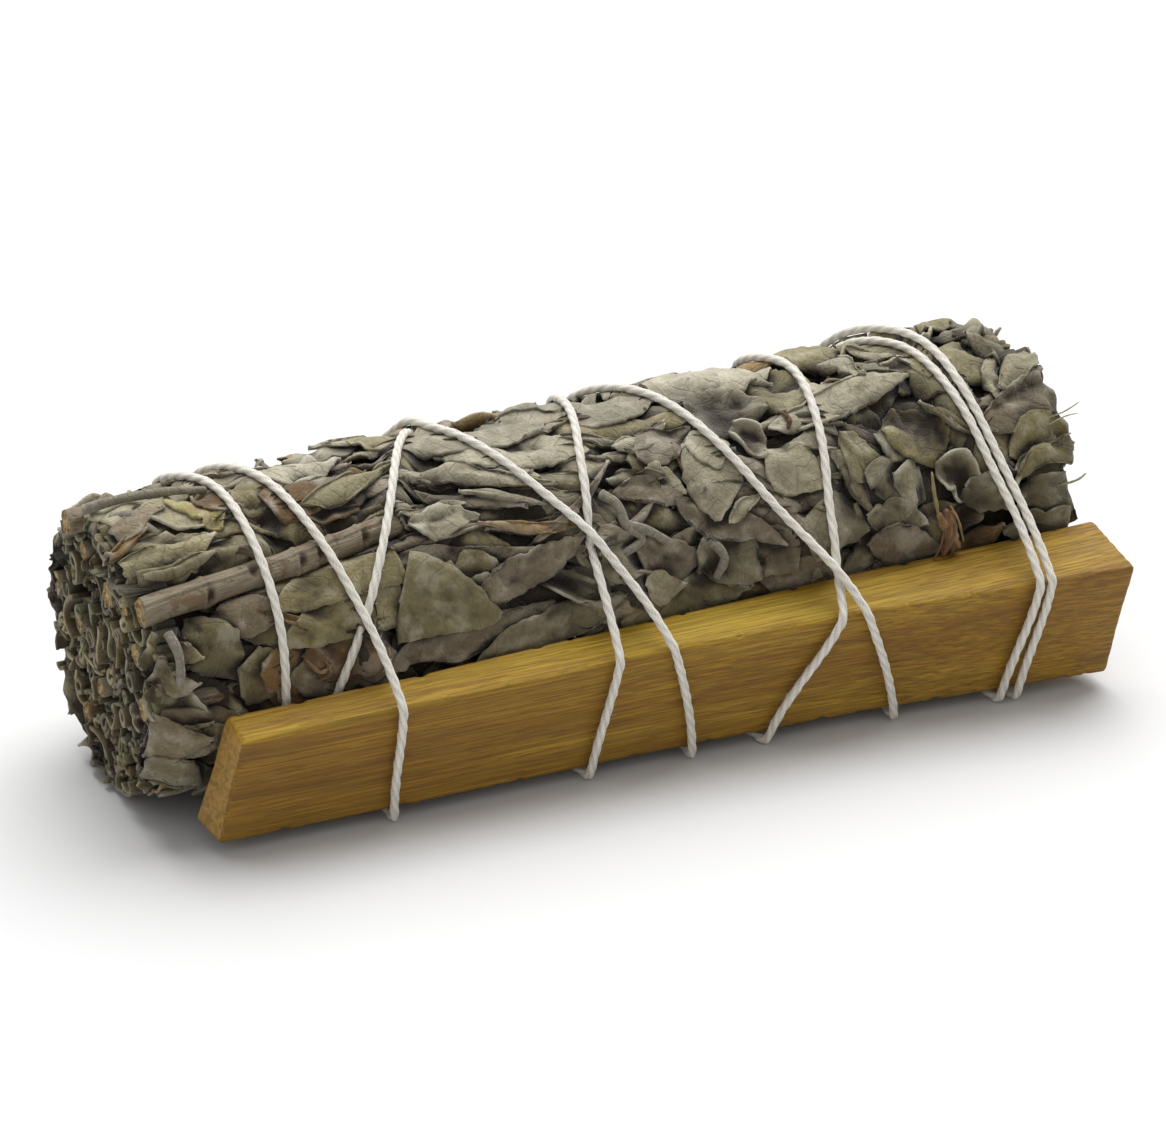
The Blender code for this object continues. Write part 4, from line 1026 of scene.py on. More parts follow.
def twig(index, row):
    """One stem: rings round a slightly crooked line. The ring's radius swells at each node and
    wears a thin raised ring there, and dips at the scars. At each end the rings close over a
    bark edge, a sunk rim of wood and the pith."""
    start, length, angle, far_angle, radius, diameter = row
    draw = np.random.default_rng(100 + index)
    shown = index == SHOWN_STEM
    around, steps = (28, 150) if shown else (20, 60)
    edge = np.array([0.02, 0.45, 0.80, 0.93])
    share = np.concatenate([np.zeros(4), np.linspace(0.0, 1.0, steps), np.ones(4)])
    full = np.concatenate([edge, np.ones(steps), edge[::-1]])
    sunk = np.concatenate([[0.25, 0.12, 0.10, 0.0], np.zeros(steps + 4)])
    face = np.concatenate([[1.0, 0.8, 0.5, 0.3], np.zeros(steps), [0.3, 0.5, 0.8, 1.0]])
    theta = np.linspace(0, 2 * math.pi, around, endpoint=False)[None, :]
    share, full, sunk, face = (part[:, None] for part in (share, full, sunk, face))
    x = start + length * share + sunk
    phi = np.radians(angle + (far_angle - angle) * share)
    crook = 0.35 * np.sin(7.0 * share + start) * share
    along = length * share
    nodes = np.sort(draw.uniform(2.0, length, int(length / 4.2)))
    if shown:
        nodes = length * np.array(SURFACE_STEM_RINGS)
    ring = np.exp(-((along - nodes) / 0.16) ** 2).sum(axis=1, keepdims=True)
    swelling = np.exp(-((along - nodes) / 0.9) ** 2).sum(axis=1, keepdims=True)
    scar, lip = np.zeros((2, len(share), around))
    scars = [(place + 0.9, draw.uniform(0, 6.3)) for place in nodes]
    if shown:
        scars = [(length * place, turn) for place, turn in SURFACE_STEM_SCARS]
    for place, turn in scars:
        side = (theta - turn + math.pi) % (2 * math.pi) - math.pi
        far = np.hypot((along - place) / 0.5, side * diameter / 2 / draw.uniform(0.8, 1.15))
        scar += smooth_step((1.1 - far) / 0.7)
        lip += np.exp(-((far - 1.4) / 0.35) ** 2)
    # painted shade in the groove just past each raised ring, added to the scar mark
    groove = np.exp(-((along - nodes - 0.34) / 0.15) ** 2).sum(axis=1, keepdims=True)
    groove = groove * (0.6 + 0.4 * np.sin(2 * theta + along))
    rough = 0.035 * np.sin(5 * theta + 3 * along / 4) + 0.03 * np.sin(9 * theta - along / 3)
    ragged = np.sin(4 * theta + draw.uniform(0, 6)) * np.sin(9 * theta + 1) + np.sin(2 * theta)
    ragged = 0.4 * ragged * (face > 0.2)
    reach = diameter / 2 * (1 - (1 - STEM_TAPER) * share)
    reach = reach * (1 + 0.06 * swelling + rough) + 0.14 * ring - 0.42 * np.clip(scar, 0, 1)
    reach = reach + 0.1 * np.clip(lip, 0, 1)
    reach = reach * full
    centre = bunch_point(x - 0.25 * ragged, phi + crook / radius, radius + 0.5 * crook)
    out = np.stack([0 * phi, np.cos(phi), np.sin(phi)], axis=-1)
    side = np.stack([0 * phi, -np.sin(phi), np.cos(phi)], axis=-1)
    points = centre + (out * np.cos(theta)[..., None] + side * np.sin(theta)[..., None]
                       ) * reach[..., None]
    rows = len(share)
    uv = np.stack([along + 0 * theta, theta * diameter / 2 + 0 * along], -1).reshape(-1, 2)
    piece = add_piece("twig_%02d" % index, points.reshape(-1, 3), tube_quads(rows, around),
                      STEM_MATERIAL, uv=uv,
                      numbers={"cut_face": (face + 0 * theta).ravel(),
                               "scar": np.clip(scar + 0.5 * groove, 0, 1).ravel()})
    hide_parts("stem_%02d" % index)


for number, stem_row in enumerate(STEMS, 1):
    twig(number, stem_row)


# The leaf stalks. Thin velvety stalks lie over the leaves here and there, looped or bent where
# their leaf was pressed down. Each is a round stalk along a smooth line on the bunch, through
# places given by their x, their angle and their height over the bunch's radius.
STALKS = (
    ((-53.4, 84, 0.2), (-50.0, 87, 0.9), (-45.0, 89, 1.0), (-40.6, 90, 0.4)),
    ((-51.2, 93, -0.3), (-49.6, 98, 0.5), (-47.6, 109, -0.2)),
    ((-2.0, 131, 0.2), (-0.9, 137, 0.9), (-0.4, 145, 0.7), (0.9, 151, 0.6), (-2.3, 156, 0.0)),
    ((-0.6, 144, 0.5), (2.0, 149, 0.9), (4.7, 156, 0.0)),
    ((-50.0, 149, -0.1), (-49.6, 158, 0.8), (-49.6, 171, -0.1)),
    ((8.6, 156, -0.2), (9.6, 163, 0.6), (8.8, 171, -0.2)),
    ((-44.0, 20, 0.0), (-30.0, 24, 0.8), (-18.0, 30, 0.0)),
    ((2.0, 330, 0.0), (14.0, 340, 0.8), (22.0, 345, 0.0)),
)
STALK_DIAMETER = 1.0
STALK_COLOUR = "#857E6C"


def frame_along(line):
    """Two directions square to a line of points at each of them: the first points as straight
    away from the bunch's axis as it can, and the second lies across the first."""
    ahead = np.gradient(line, axis=0)
    ahead = ahead / np.linalg.norm(ahead, axis=1, keepdims=True)
    centre = np.stack([line[:, 0], np.full(len(line), AXIS_Y), bunch_radius(line[:, 0])], axis=-1)
    out = line - centre
    out = out - (out * ahead).sum(axis=1, keepdims=True) * ahead
    out = out / np.linalg.norm(out, axis=1, keepdims=True)
    return out, np.cross(ahead, out)


def round_line(line, reach, around):
    """A closed round body along a line: rings of the given radius, closed to a point at its
    ends. reach may have a value for each ring and each point round it."""
    out, side = frame_along(line)
    theta = np.linspace(0, 2 * math.pi, around, endpoint=False)[None, :, None]
    reach = np.broadcast_to(reach, (len(line), around)).copy()
    reach[0] *= 0.05
    reach[-1] *= 0.05
    ring = out[:, None] * np.cos(theta) + side[:, None] * np.sin(theta)
    return (line[:, None] + ring * reach[..., None]).reshape(-1, 3)


def line_on_bunch(keys, steps):
    """A smooth line through keys, each the x, the angle in degrees and the height of a place."""
    keys = np.array(keys, float)
    at = np.linspace(0, len(keys) - 1, steps)
    s, phi, h = smooth_between(np.arange(len(keys), dtype=float), keys, at).T
    return bunch_point(s, np.radians(phi), bunch_radius(s) + h)


def leaf_stalk(index, keys):
    """One stalk. It tapers a little and swells at its foot."""
    rings, around = 60, 14
    share = np.linspace(0, 1, rings)[:, None]
    reach = STALK_DIAMETER / 2 * (1.1 - 0.3 * share + 0.06 * np.sin(13 * share + index))
    arc = np.linspace(0, 3, around)[None, :] + 0 * share
    uv = np.stack([20 * share + 0 * arc, arc], -1).reshape(-1, 2)
    return (round_line(line_on_bunch(keys, rings), reach, around), tube_quads(rings, around), uv,
            linear(STALK_COLOUR), {"leaf_seed": 0.37})


dried_leaf_piece("leaf_stalks", [leaf_stalk(index, keys) for index, keys in enumerate(STALKS)])


# Small dry bits. A dried flower head is caught beside the stick, with a thin straw above it, and a
# few fine stalks stick out of the leafy end. Each bit is a thin round line: the places that it
# runs through, its thickness and its colour.
BITS = (
    (((34.3, 148, 0.6), (34.0, 157, 0.9), (34.4, 167, 0.4)), 0.34, "#A08A55"),
    (((34.4, 163, 0.3), (35.0, 170, 0.9), (35.9, 179, 0.3)), 0.85, "#8E6834"),
    (((35.2, 162, 0.5), (35.3, 170, 1.1), (34.6, 180, 0.4)), 0.90, "#744E24"),
    (((36.0, 163, 0.5), (35.6, 171, 1.0), (36.6, 178, 0.5)), 0.70, "#9C7640"),
    (((35.6, 161, 0.8), (36.2, 167, 1.2), (37.0, 176, 0.7)), 0.22, "#A8894E"),
    (((34.9, 165, 1.0), (34.2, 174, 1.0), (33.4, 181, 0.6)), 0.22, "#7A5428"),
    (((35.5, 166, 1.1), (35.4, 175, 0.9), (36.0, 183, 0.6)), 0.26, "#5C3C1E"),
    (((48.6, 137, -0.3), (51.2, 136, 0.0), (53.2, 134, 0.5)), 0.14, "#D2C9A4"),
    (((48.6, 140, -0.4), (51.0, 138, 0.1), (52.6, 138, 0.4)), 0.12, "#CFC5A0"),
    (((48.8, 163, -0.6), (51.0, 162, 0.0), (52.2, 160, 0.2)), 0.20, "#BDB48C"),
    (((-36.4, 169, 0.2), (-35.2, 174, 0.9), (-33.6, 172, 0.6)), 0.30, "#8C6A3C"),
    (((-35.4, 178, 0.3), (-34.2, 175, 0.9), (-34.6, 170, 0.5)), 0.26, "#7C5A30"),
    (((20.4, 113, 0.5), (20.8, 118, 0.8), (20.4, 121, 0.2)), 0.50, "#6A4526"),
)


def dry_bit(index, row):
    """One bit, thickest midway, with low ridges that turn round it."""
    keys, width, colour = row
    rings, around = 24, 10
    share = np.linspace(0, 1, rings)[:, None]
    theta = np.linspace(0, 2 * math.pi, around, endpoint=False)[None, :]
    reach = width / 2 * (0.45 + 0.75 * np.sin(math.pi * share) ** 0.7)
    reach = reach * (1 + 0.22 * np.sin(3 * theta + 5 * share + index) + 0.12 * np.sin(23 * share))
    uv = np.stack([8 * share + 0 * theta, theta + 0 * share], -1).reshape(-1, 2)
    return (round_line(line_on_bunch(keys, rings), reach, around), tube_quads(rings, around), uv,
            linear(colour), {"leaf_seed": 0.61})


dried_leaf_piece("dry_bits", [dry_bit(index, row) for index, row in enumerate(BITS)])


# The cut ends. The bundle was cut across at both ends, and shows the edges of hundreds of leaves
# there, packed tight, each curled its own way, in dull green and brown with dark gaps between.
# Each edge gets painted shade that darkens it further into the bundle.
EDGE_COLOURS = ("#675F40", "#776D4A", "#585034", "#7E6E48", "#685836", "#8A8058", "#6B6740")
EDGE_DEPTH = 3.6
# painted shade along a cut edge, row by row from the cut face inward
EDGE_PAINTED_SHADE = (-0.15, 0.1, 0.55, 1.0)
EDGE_CELL = 0.28
EDGE_TRIES = 14
LONG_EDGE_TRIES = 5
EDGE_OVERLAP = 0.1
EDGE_THICKNESS = (0.38, 0.6)
EDGE_BRIGHTNESS = (0.65, 1.35)


def edge_strip(centre, heading, bend, length, reach, draw):
    """A leaf's cut edge: a thin strip that stands along x. Across, its line turns by bend radians
    over its length, more towards one end, and wavers. Its outer edge is slightly ragged."""
    steps = 17
    a = np.linspace(0, 1, steps)
    waver = 0.35 * np.sin(a * draw.uniform(4, 8) + draw.uniform(0, 6))
    turned = heading + bend * (a - 0.5) * (0.6 + 0.8 * a) + waver
    step = length / (steps - 1)
    y = np.cumsum(np.cos(turned)) * step
    z = np.cumsum(np.sin(turned)) * step
    y = centre[0] + y - y.mean()
    z = centre[1] + z - z.mean()
    ragged = 0.16 * np.sin(a * draw.uniform(3, 9) + draw.uniform(0, 6))
    outer = reach + ragged
    rows = []
    for share in (0.0, 0.04, 0.15, 1.0):
        rows.append(np.stack([outer * (1 - share) + EDGE_DEPTH * share, y, z], axis=-1))
    return np.stack(rows)


def cut_edges(name, count, face_x, inward, radius, blocked, seed, flat_share):
    """Cut edges packed into a disc. A strip is kept only where little of it would cross strips
    that are already there or the stems. inward is the x direction into the bundle, and
    flat_share is the share of leaves that aren't rolled up."""
    draw = np.random.default_rng(seed)
    size = int(2 * radius / EDGE_CELL) + 4
    taken = np.zeros((size, size), bool)
    yy, zz = np.meshgrid(*(2 * [(np.arange(size) - size / 2) * EDGE_CELL]), indexing="ij")
    for y, z, wide in blocked:
        taken |= np.hypot(yy - y, zz - z) < wide
    parts = []
    for attempt in range(count * EDGE_TRIES):
        if len(parts) == count:
            break
        far = radius * math.sqrt(draw.random())
        turn = draw.uniform(0, 2 * math.pi)
        centre = (far * math.cos(turn), far * math.sin(turn))
        lengths = (2.2, 7.0) if attempt < count * LONG_EDGE_TRIES else (1.0, 3.0)
        length = draw.uniform(*lengths)
        bend = draw.uniform(0.4, 3.2) if draw.random() < flat_share else draw.uniform(5.0, 8.0)
        bend = bend * draw.choice((-1, 1))
        heading = turn + math.pi / 2 + draw.normal(0, 0.6)
        reach = 0.5 * math.sin(0.9 * centre[0] + 1.3 * centre[1] + seed)
        reach += 0.5 * math.sin(1.5 * centre[0] - 0.8 * centre[1]) + draw.normal(0.2, 0.3)
        grid = edge_strip(centre, heading, bend, length, reach, draw)
        line = grid[0]
        if np.hypot(line[:, 1], line[:, 2]).max() > radius:
            continue
        i = (line[:, 1] / EDGE_CELL + size / 2).astype(int)
        j = (line[:, 2] / EDGE_CELL + size / 2).astype(int)
        if taken[i, j].mean() > EDGE_OVERLAP:
            continue
        taken[i, j] = True
        deep, wide, tall = np.moveaxis(grid, -1, 0)
        grid = np.stack([face_x + inward * deep + AXIS_X_SHIFT, wide + AXIS_Y,
                         tall + bunch_radius(face_x)], axis=-1)
        rows, columns = deep.shape
        sheet = thin_sheet(grid, draw.uniform(*EDGE_THICKNESS), rows, columns)
        sheet[:, 2] = np.maximum(sheet[:, 2], FLOOR_CLEARANCE)
        along, across = np.meshgrid(np.linspace(0, 3, rows), np.linspace(0, length, columns),
                                    indexing="ij")
        uv = np.tile(np.stack([along, across], -1).reshape(-1, 2), (2, 1))
        colour = EDGE_COLOURS[int(draw.integers(len(EDGE_COLOURS)))]
        tint = np.array(linear(colour)) * draw.uniform(*EDGE_BRIGHTNESS)
        # painted shade, darker deeper into the bundle
        depth = np.tile(np.repeat(EDGE_PAINTED_SHADE, columns), 2)
        parts.append((sheet, sheet_quads(rows, columns), uv, tint,
                      {"leaf_seed": draw.random(), "leaf_depth": depth}))
    dried_leaf_piece(name, parts)


stem_places = [(radius * math.cos(math.radians(angle)), radius * math.sin(math.radians(angle)),
                diameter / 2 + 0.15) for _, _, angle, _, radius, diameter in STEMS]
cut_edges("cut_edges_start", count=500, face_x=BUNCH_START + 0.2, inward=1.0,
          radius=START_RADIUS - 0.5, blocked=stem_places, seed=41, flat_share=0.6)
cut_edges("cut_edges_end", count=560, face_x=BUNCH_END - 0.9, inward=-1.0,
          radius=END_RADIUS - 0.9, blocked=(), seed=42, flat_share=0.9)


# The wood stick. Palo santo, split along its grain from a bigger piece and sawn off at a slant at
# both ends: honey-coloured, dry and open-grained, with splintered edges. It lies along the
# bundle's side on the string's lower runs and is held by five runs over its front.
STICK_START_CORNERS = (-47.2, -45.3, -45.3, -48.1)
STICK_END_CORNERS = (51.9, 53.1, 52.6, 51.6)
STICK_EDGE = 0.3
CHIP_WIDTH = 0.4
CHIP_DEPTH = 0.45
FACE_INSET = 0.06
SAW_MARKS = 0.05


def roughness_along(along, across, seed, long, wide, count=14):
    """Low streaks that run along the wood: a sum of waves, long one way and short the other."""
    draw = np.random.default_rng(seed)
    total = np.zeros(np.broadcast(along, across).shape)
    for _ in range(count):
        turn = draw.uniform(0.6, 1.7)
        total += np.sin(2 * math.pi * (along / long * draw.normal(0, 1) + across / wide * turn)
                        + draw.uniform(0, 6.3))
    return total / math.sqrt(count)


def palo_santo():
    """Split palo santo: honey heartwood with darker long streaks and short pores, and painted light
    that makes its top face paler and lays a painted highlight along its upper front edge. The grain
    follows the stick, which lies along x."""
    made, tree, shader = new_material("split_palo_santo")
    where = add_node(tree, "TexCoord", {}, {}).outputs["Object"]
    end = add_node(tree, "Attribute", {"attribute_name": "end_grain"}, {}).outputs["Fac"]
    slow = add_node(tree, "Mapping", {}, {"Vector": where, "Scale": (16.0, 210.0, 210.0)})
    broad = add_node(tree, "TexNoise", {}, {"Vector": slow.outputs[0], "Scale": 1.0, "Detail": 5.0,
                                            "Distortion": 0.9})
    quick = add_node(tree, "Mapping", {}, {"Vector": where, "Scale": (50.0, 4600.0, 4600.0)})
    fibre = add_node(tree, "TexNoise", {}, {"Vector": quick.outputs[0], "Scale": 1.0, "Detail": 6.0,
                                            "Roughness": 0.65})
    dash = add_node(tree, "Mapping", {}, {"Vector": where, "Scale": (190.0, 4800.0, 4800.0)})
    pores = add_node(tree, "TexNoise", {}, {"Vector": dash.outputs[0], "Scale": 1.0, "Detail": 2.0})
    colour = add_node(tree, "ValToRGB", {"stops": ((0.30, "#9B7014"), (0.45, "#AB8116"),
                                                   (0.58, "#B78E1C"), (0.72, "#C2A132"))},
                      {0: broad.outputs[0]}).outputs[0]
    streak = add_node(tree, "ValToRGB", {"stops": ((0.36, "#5F4F30"), (0.50, "#80765C"),
                                                   (0.62, "#A69C7E"))},
                      {0: fibre.outputs[0]}).outputs[0]
    colour = add_node(tree, "Mix", {"data_type": "RGBA", "blend_type": "OVERLAY"},
                      {0: 0.75, 6: colour, 7: streak}).outputs[2]
    pore = add_node(tree, "MapRange", {"interpolation_type": "SMOOTHSTEP"},
                    {0: pores.outputs[0], 1: 0.57, 2: 0.66, 3: 0.0, 4: 0.6}).outputs[0]
    colour = add_node(tree, "Mix", {"data_type": "RGBA"},
                      {0: pore, 6: colour, 7: linear("#7A4E16")}).outputs[2]
    # painted light: a paler top face and a painted highlight along the upper front edge
    lit_top = add_node(tree, "Attribute", {"attribute_name": "fresh_split"}, {}).outputs["Fac"]
    lit_colour = add_node(tree, "VectorMath", {"operation": "MULTIPLY"},
                     {0: colour, 1: (1.5, 1.85, 1.95)}).outputs[0]
    colour = add_node(tree, "Mix", {"data_type": "RGBA"}, {0: lit_top, 6: colour, 7: lit_colour}).outputs[2]
    face = add_node(tree, "TexNoise", {}, {"Vector": where, "Scale": 1500.0, "Detail": 5.0})
    face = add_node(tree, "ValToRGB", {"stops": ((0.3, "#8A6626"), (0.6, "#B89048"))},
                    {0: face.outputs[0]}).outputs[0]
    colour = add_node(tree, "Mix", {"data_type": "RGBA"}, {0: end, 6: colour, 7: face}).outputs[2]
    relief = add_node(tree, "Bump", {}, {"Height": fibre.outputs[0], "Distance": 0.00025,
                                         "Strength": 0.6})
    relief = add_node(tree, "Bump", {}, {"Height": pore, "Distance": 0.00015, "Strength": 0.6,
                                         "Normal": relief.outputs[0]})
    tree.links.new(colour, shader.inputs["Base Color"])
    tree.links.new(relief.outputs[0], shader.inputs["Normal"])
    shader.inputs["Roughness"].default_value = 0.62
    return made


def split_stick():
    """The stick's surface: for each place along it, the outline of a square with broken edges
    between four corner lines, moved in by chips at the edges and by the grain. Both ends close
    over their slanting faces in rings."""
    rows, side_points, cap_rings = 420, 36, 12
    across = (np.arange(4 * side_points) + 0.5) / side_points
    corner = across.astype(int)
    within = across - corner
    cap = np.linspace(0.02, 0.97, cap_rings)
    share = np.concatenate([np.zeros(cap_rings), np.linspace(0, 1, rows), np.ones(cap_rings)])
    share = share[:, None]
    full = np.concatenate([cap, np.ones(rows), cap[::-1]])[:, None]
    lines = []
    for index in range(4):
        start, end = STICK_START_CORNERS[index], STICK_END_CORNERS[index]
        x = start + (end - start) * share[:, 0]
        wander = 0.12 * np.sin(9.0 * share[:, 0] + 2.1 * index) * (index % 3 > 0)
        y, z = stick_corners(x)[index].T
        lines.append(np.stack([x + AXIS_X_SHIFT, AXIS_Y + y, z + wander], axis=-1))
    lines = np.stack(lines, axis=1)
    here, there = lines[:, corner], lines[:, (corner + 1) % 4]
    points = here + (there - here) * within[None, :, None]
    centre = lines.mean(axis=1, keepdims=True)
    span = np.linalg.norm(there - here, axis=-1)
    to_edge = np.minimum(within, 1 - within)[None, :] * span
    along = points[..., 0]
    draw = np.random.default_rng(9)
    phase = draw.uniform(0, 6.3, (4, 6))
    inward = centre - points
    distance = np.linalg.norm(inward, axis=-1, keepdims=True)
    inward = inward / distance
    rounding = STICK_EDGE * np.clip(1 - to_edge / STICK_EDGE, 0, 1) ** 2
    nearest = (corner + (within > 0.5)) % 4
    chips = np.zeros(along.shape)
    for wave in range(6):
        chips += np.sin(along * (0.45 + 0.5 * wave) + phase[nearest, wave])
    chips = np.clip(chips / 2.4 - 0.7, 0, 1.0) * np.exp(-to_edge / CHIP_WIDTH) * CHIP_DEPTH
    grain = 0.035 * roughness_along(along, across[None, :] * 9, 3, 30.0, 2.0)
    grain = grain + 0.02 * roughness_along(along, across[None, :] * 9, 4, 12.0, 0.6)
    end_gap = np.minimum(share, 1 - share) * 100
    grain = grain + 0.3 * np.clip(1 - end_gap / 0.4, 0, 1) ** 2
    depth = (rounding + chips + grain + FACE_INSET)[..., None]
    points = points + inward * depth * (full[..., None] > 0.99)
    first, last = slice(0, cap_rings), slice(-cap_rings, None)
    for caps, ring, tall, wide in ((first, points[cap_rings], 5, 2),
                                   (last, points[-cap_rings - 1], 4, -3)):
        middle = ring.mean(axis=0)
        points[caps] = middle + (ring - middle) * full[caps][..., None]
        saw_marks = np.sin(points[caps, :, 2] * tall + points[caps, :, 1] * wide)
        points[caps, :, 0] += SAW_MARKS * saw_marks
    marked = np.broadcast_to(full < 0.99, along.shape).astype(float)
    # painted light on the top face and a painted highlight along the upper front edge, stronger towards
    # the start end
    edge_highlight = np.exp(-(((across - 1.0) * 13.0) / 0.5) ** 2)
    lit_top = (corner == 1) + 0.9 * edge_highlight * (corner != 1)
    lit_top = lit_top[None, :] * (0.22 + 0.5 * smooth_step((0.85 - share) / 0.35))
    quads = tube_quads(len(share), len(across))[:, ::-1]
    piece = add_piece("split_stick", points.reshape(-1, 3), quads, palo_santo(),
                      numbers={"end_grain": marked.ravel(), "fresh_split": lit_top.ravel()})
    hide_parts("palo_santo_stick")


split_stick()


# The cotton string. Undyed cotton twine of three plies, about 1 mm thick and a little fuzzy,
# twisted to the left. It is one length of 1.07 m, wound nine times and knotted low at the back.
PLIES = 3
TWIST_PITCH = 5.4
STRING_STEP = 0.34
STRING_SIDES = 16


def cotton_twine():
    """Cotton twine: matte white fibres with a warm cast, with painted shade in the grooves between
    plies, and fine fibres that slant across each ply."""
    made, tree, shader = new_material("cotton_twine")
    groove = add_node(tree, "Attribute", {"attribute_name": "groove"}, {}).outputs["Fac"]
    uv = add_node(tree, "UVMap", {"uv_map": "surface_mm"}, {}).outputs["UV"]
    turned = add_node(tree, "Mapping", {}, {"Vector": uv, "Scale": (0.9, 9.0, 1.0)}).outputs[0]
    fibre = add_node(tree, "TexNoise", {}, {"Vector": turned, "Scale": 1.0, "Detail": 4.0})
    where = add_node(tree, "TexCoord", {}, {}).outputs["Object"]
    patch = add_node(tree, "TexNoise", {}, {"Vector": where, "Scale": 160.0, "Detail": 2.0})
    colour = add_node(tree, "ValToRGB", {"stops": ((0.30, "#DAD4C6"), (0.62, "#F5F1E9"))},
                      {0: fibre.outputs[0]}).outputs[0]
    cast = add_node(tree, "MapRange", {}, {0: patch.outputs[0], 1: 0.35, 2: 0.7, 3: 0.0, 4: 0.35})
    colour = add_node(tree, "Mix", {"data_type": "RGBA"},
                      {0: cast.outputs[0], 6: colour, 7: linear("#E2DCCB")}).outputs[2]
    # painted shade in the grooves between plies
    dark = add_node(tree, "Math", {"operation": "MULTIPLY"}, {0: groove, 1: 0.6}).outputs[0]
    colour = add_node(tree, "Mix", {"data_type": "RGBA"},
                      {0: dark, 6: colour, 7: linear("#A29781")}).outputs[2]
    relief = add_node(tree, "Bump", {}, {"Height": fibre.outputs[0], "Distance": 0.00012,
                                         "Strength": 0.7})
    tree.links.new(colour, shader.inputs["Base Color"])
    tree.links.new(relief.outputs[0], shader.inputs["Normal"])
    shader.inputs["Roughness"].default_value = 0.85
    shader.inputs["Sheen Weight"].default_value = 0.2
    return made


TWINE_MATERIAL = cotton_twine()


def even_line(points, step):
    """The same line with points the same distance apart."""
    run = np.concatenate([[0.0], np.cumsum(np.linalg.norm(np.diff(points, axis=0), axis=1))])
    at = np.linspace(0, run[-1], int(run[-1] / step))
    return np.stack([np.interp(at, run, points[:, k]) for k in range(3)], axis=-1), at


def string_piece(name, line, at):
    """A twisted cord: rings whose outline has a lobe for each ply and turns steadily along it."""
    theta = np.linspace(0, 2 * math.pi, STRING_SIDES, endpoint=False)[None, :]
    turn = -2 * math.pi * at[:, None] / TWIST_PITCH
    lobe = np.abs(np.cos(PLIES / 2 * (theta - turn)))
    reach = STRING_DIAMETER / 2 * (0.66 + 0.28 * lobe**0.7)
    reach = reach * (1 + 0.04 * np.sin(at[:, None] * 1.9) + 0.03 * np.sin(at[:, None] * 5.3))
    points = round_line(line, reach, STRING_SIDES)
    # where the painted shade falls, between the plies
    groove = 1 - smooth_step((lobe - 0.05) / 0.6)
    uv = np.stack([at[:, None] + 0 * theta, 0.5 * (theta - turn) + 0 * at[:, None]], -1)
    piece = add_piece(name, points, tube_quads(len(line), STRING_SIDES), TWINE_MATERIAL,
                      uv=uv.reshape(-1, 2), numbers={"groove": groove.ravel()})
    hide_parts("cotton_string")


STRING_LINE, STRING_AT = even_line(bunch_point(ROUTE_X, ROUTE_PHI, ROUTE_RADIUS), STRING_STEP)
string_piece("twisted_string", STRING_LINE, STRING_AT)


# The string's loose fibres. Cotton twine is a little fuzzy: single fibres, a thirtieth of a
# millimetre thick here so that they show, stand off it all along and catch the light.
HAIRS = 900
HAIR_WIDTH = 0.035
HAIR_RINGS = 5
HAIR_SIDES = 4


def loose_fibres():
    """Fine fibres that stand off the string: each a thin four-sided line that starts inside the
    string and curves away along it."""
    draw = np.random.default_rng(77)
    index = draw.integers(2, len(STRING_LINE) - 2, HAIRS)
    out, side = frame_along(STRING_LINE)
    ahead = np.cross(out, side)
    turn = draw.uniform(0, 2 * math.pi, (HAIRS, 1))
    away = out[index] * np.cos(turn) + side[index] * np.sin(turn)
    share = np.linspace(0, 1, HAIR_RINGS)[None, :, None]
    length = draw.uniform(0.3, 0.95, (HAIRS, 1, 1))
    lean = draw.normal(0, 0.7, (HAIRS, 1, 1))
    around = np.cross(away, ahead[index])
    bend = draw.normal(0, 0.25, (HAIRS, 1, 1))
    line = STRING_LINE[index][:, None] + away[:, None] * (0.36 + length * (share - 0.35 * share**2))
    line = line + ahead[index][:, None] * lean * length * share
    line = line + around[:, None] * bend * share**2
    theta = (2 * math.pi / HAIR_SIDES * np.arange(HAIR_SIDES))[None, None, :, None]
    ring = ahead[index][:, None, None] * np.cos(theta) + around[:, None, None] * np.sin(theta)
    reach = HAIR_WIDTH / 2 * (1 - 0.8 * share[..., None])
    points = (line[:, :, None] + ring * reach).reshape(-1, 3)
    points[:, 2] = np.maximum(points[:, 2], FLOOR_CLEARANCE)
    one_hair = tube_quads(HAIR_RINGS, HAIR_SIDES)
    quads = one_hair[None] + HAIR_RINGS * HAIR_SIDES * np.arange(HAIRS)[:, None, None]
    piece = add_piece("string_fibres", points, quads.reshape(-1, 4), TWINE_MATERIAL,
                      uv=np.zeros((len(points), 2)), numbers={"groove": np.zeros(len(points))})
    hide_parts("cotton_string")


loose_fibres()


# The knot. The string's two ends meet low at the back, near the cut stems, and are tied there in
# one small tight knot of the same twine.
KNOT_X = -38.2
KNOT_ANGLE = math.radians(345)
KNOT_REACH = (1.25, 0.95, 0.55)
KNOT_HEIGHT = 0.95
KNOT_STEP = 0.16
TREFOIL_WIDTH = 2.6


def knot():
    """A trefoil of string, drawn tight: its line goes twice round while it rises and falls three
    times, over and under itself, and is scaled to the knot's size and laid on the bunch."""
    t = np.linspace(0, 2 * math.pi, 90)
    along = KNOT_REACH[0] * (np.sin(t) + 2 * np.sin(2 * t)) / TREFOIL_WIDTH
    around = KNOT_REACH[1] * (np.cos(t) - 2 * np.cos(2 * t)) / TREFOIL_WIDTH
    out = KNOT_REACH[2] * np.sin(3 * t)
    phi = KNOT_ANGLE + around / START_RADIUS
    line = bunch_point(KNOT_X + along, phi, bunch_radius(KNOT_X) + KNOT_HEIGHT + out)
    string_piece("string_knot", *even_line(line, KNOT_STEP))


knot()


# The studio. A wide floor of pale paper lies under the bunch, a wide soft light hangs overhead,
# and an even surround fills the shadows.
FLOOR_REACH = 4.0
LIGHT_HEADING = (-0.25, -0.45, -1.0)


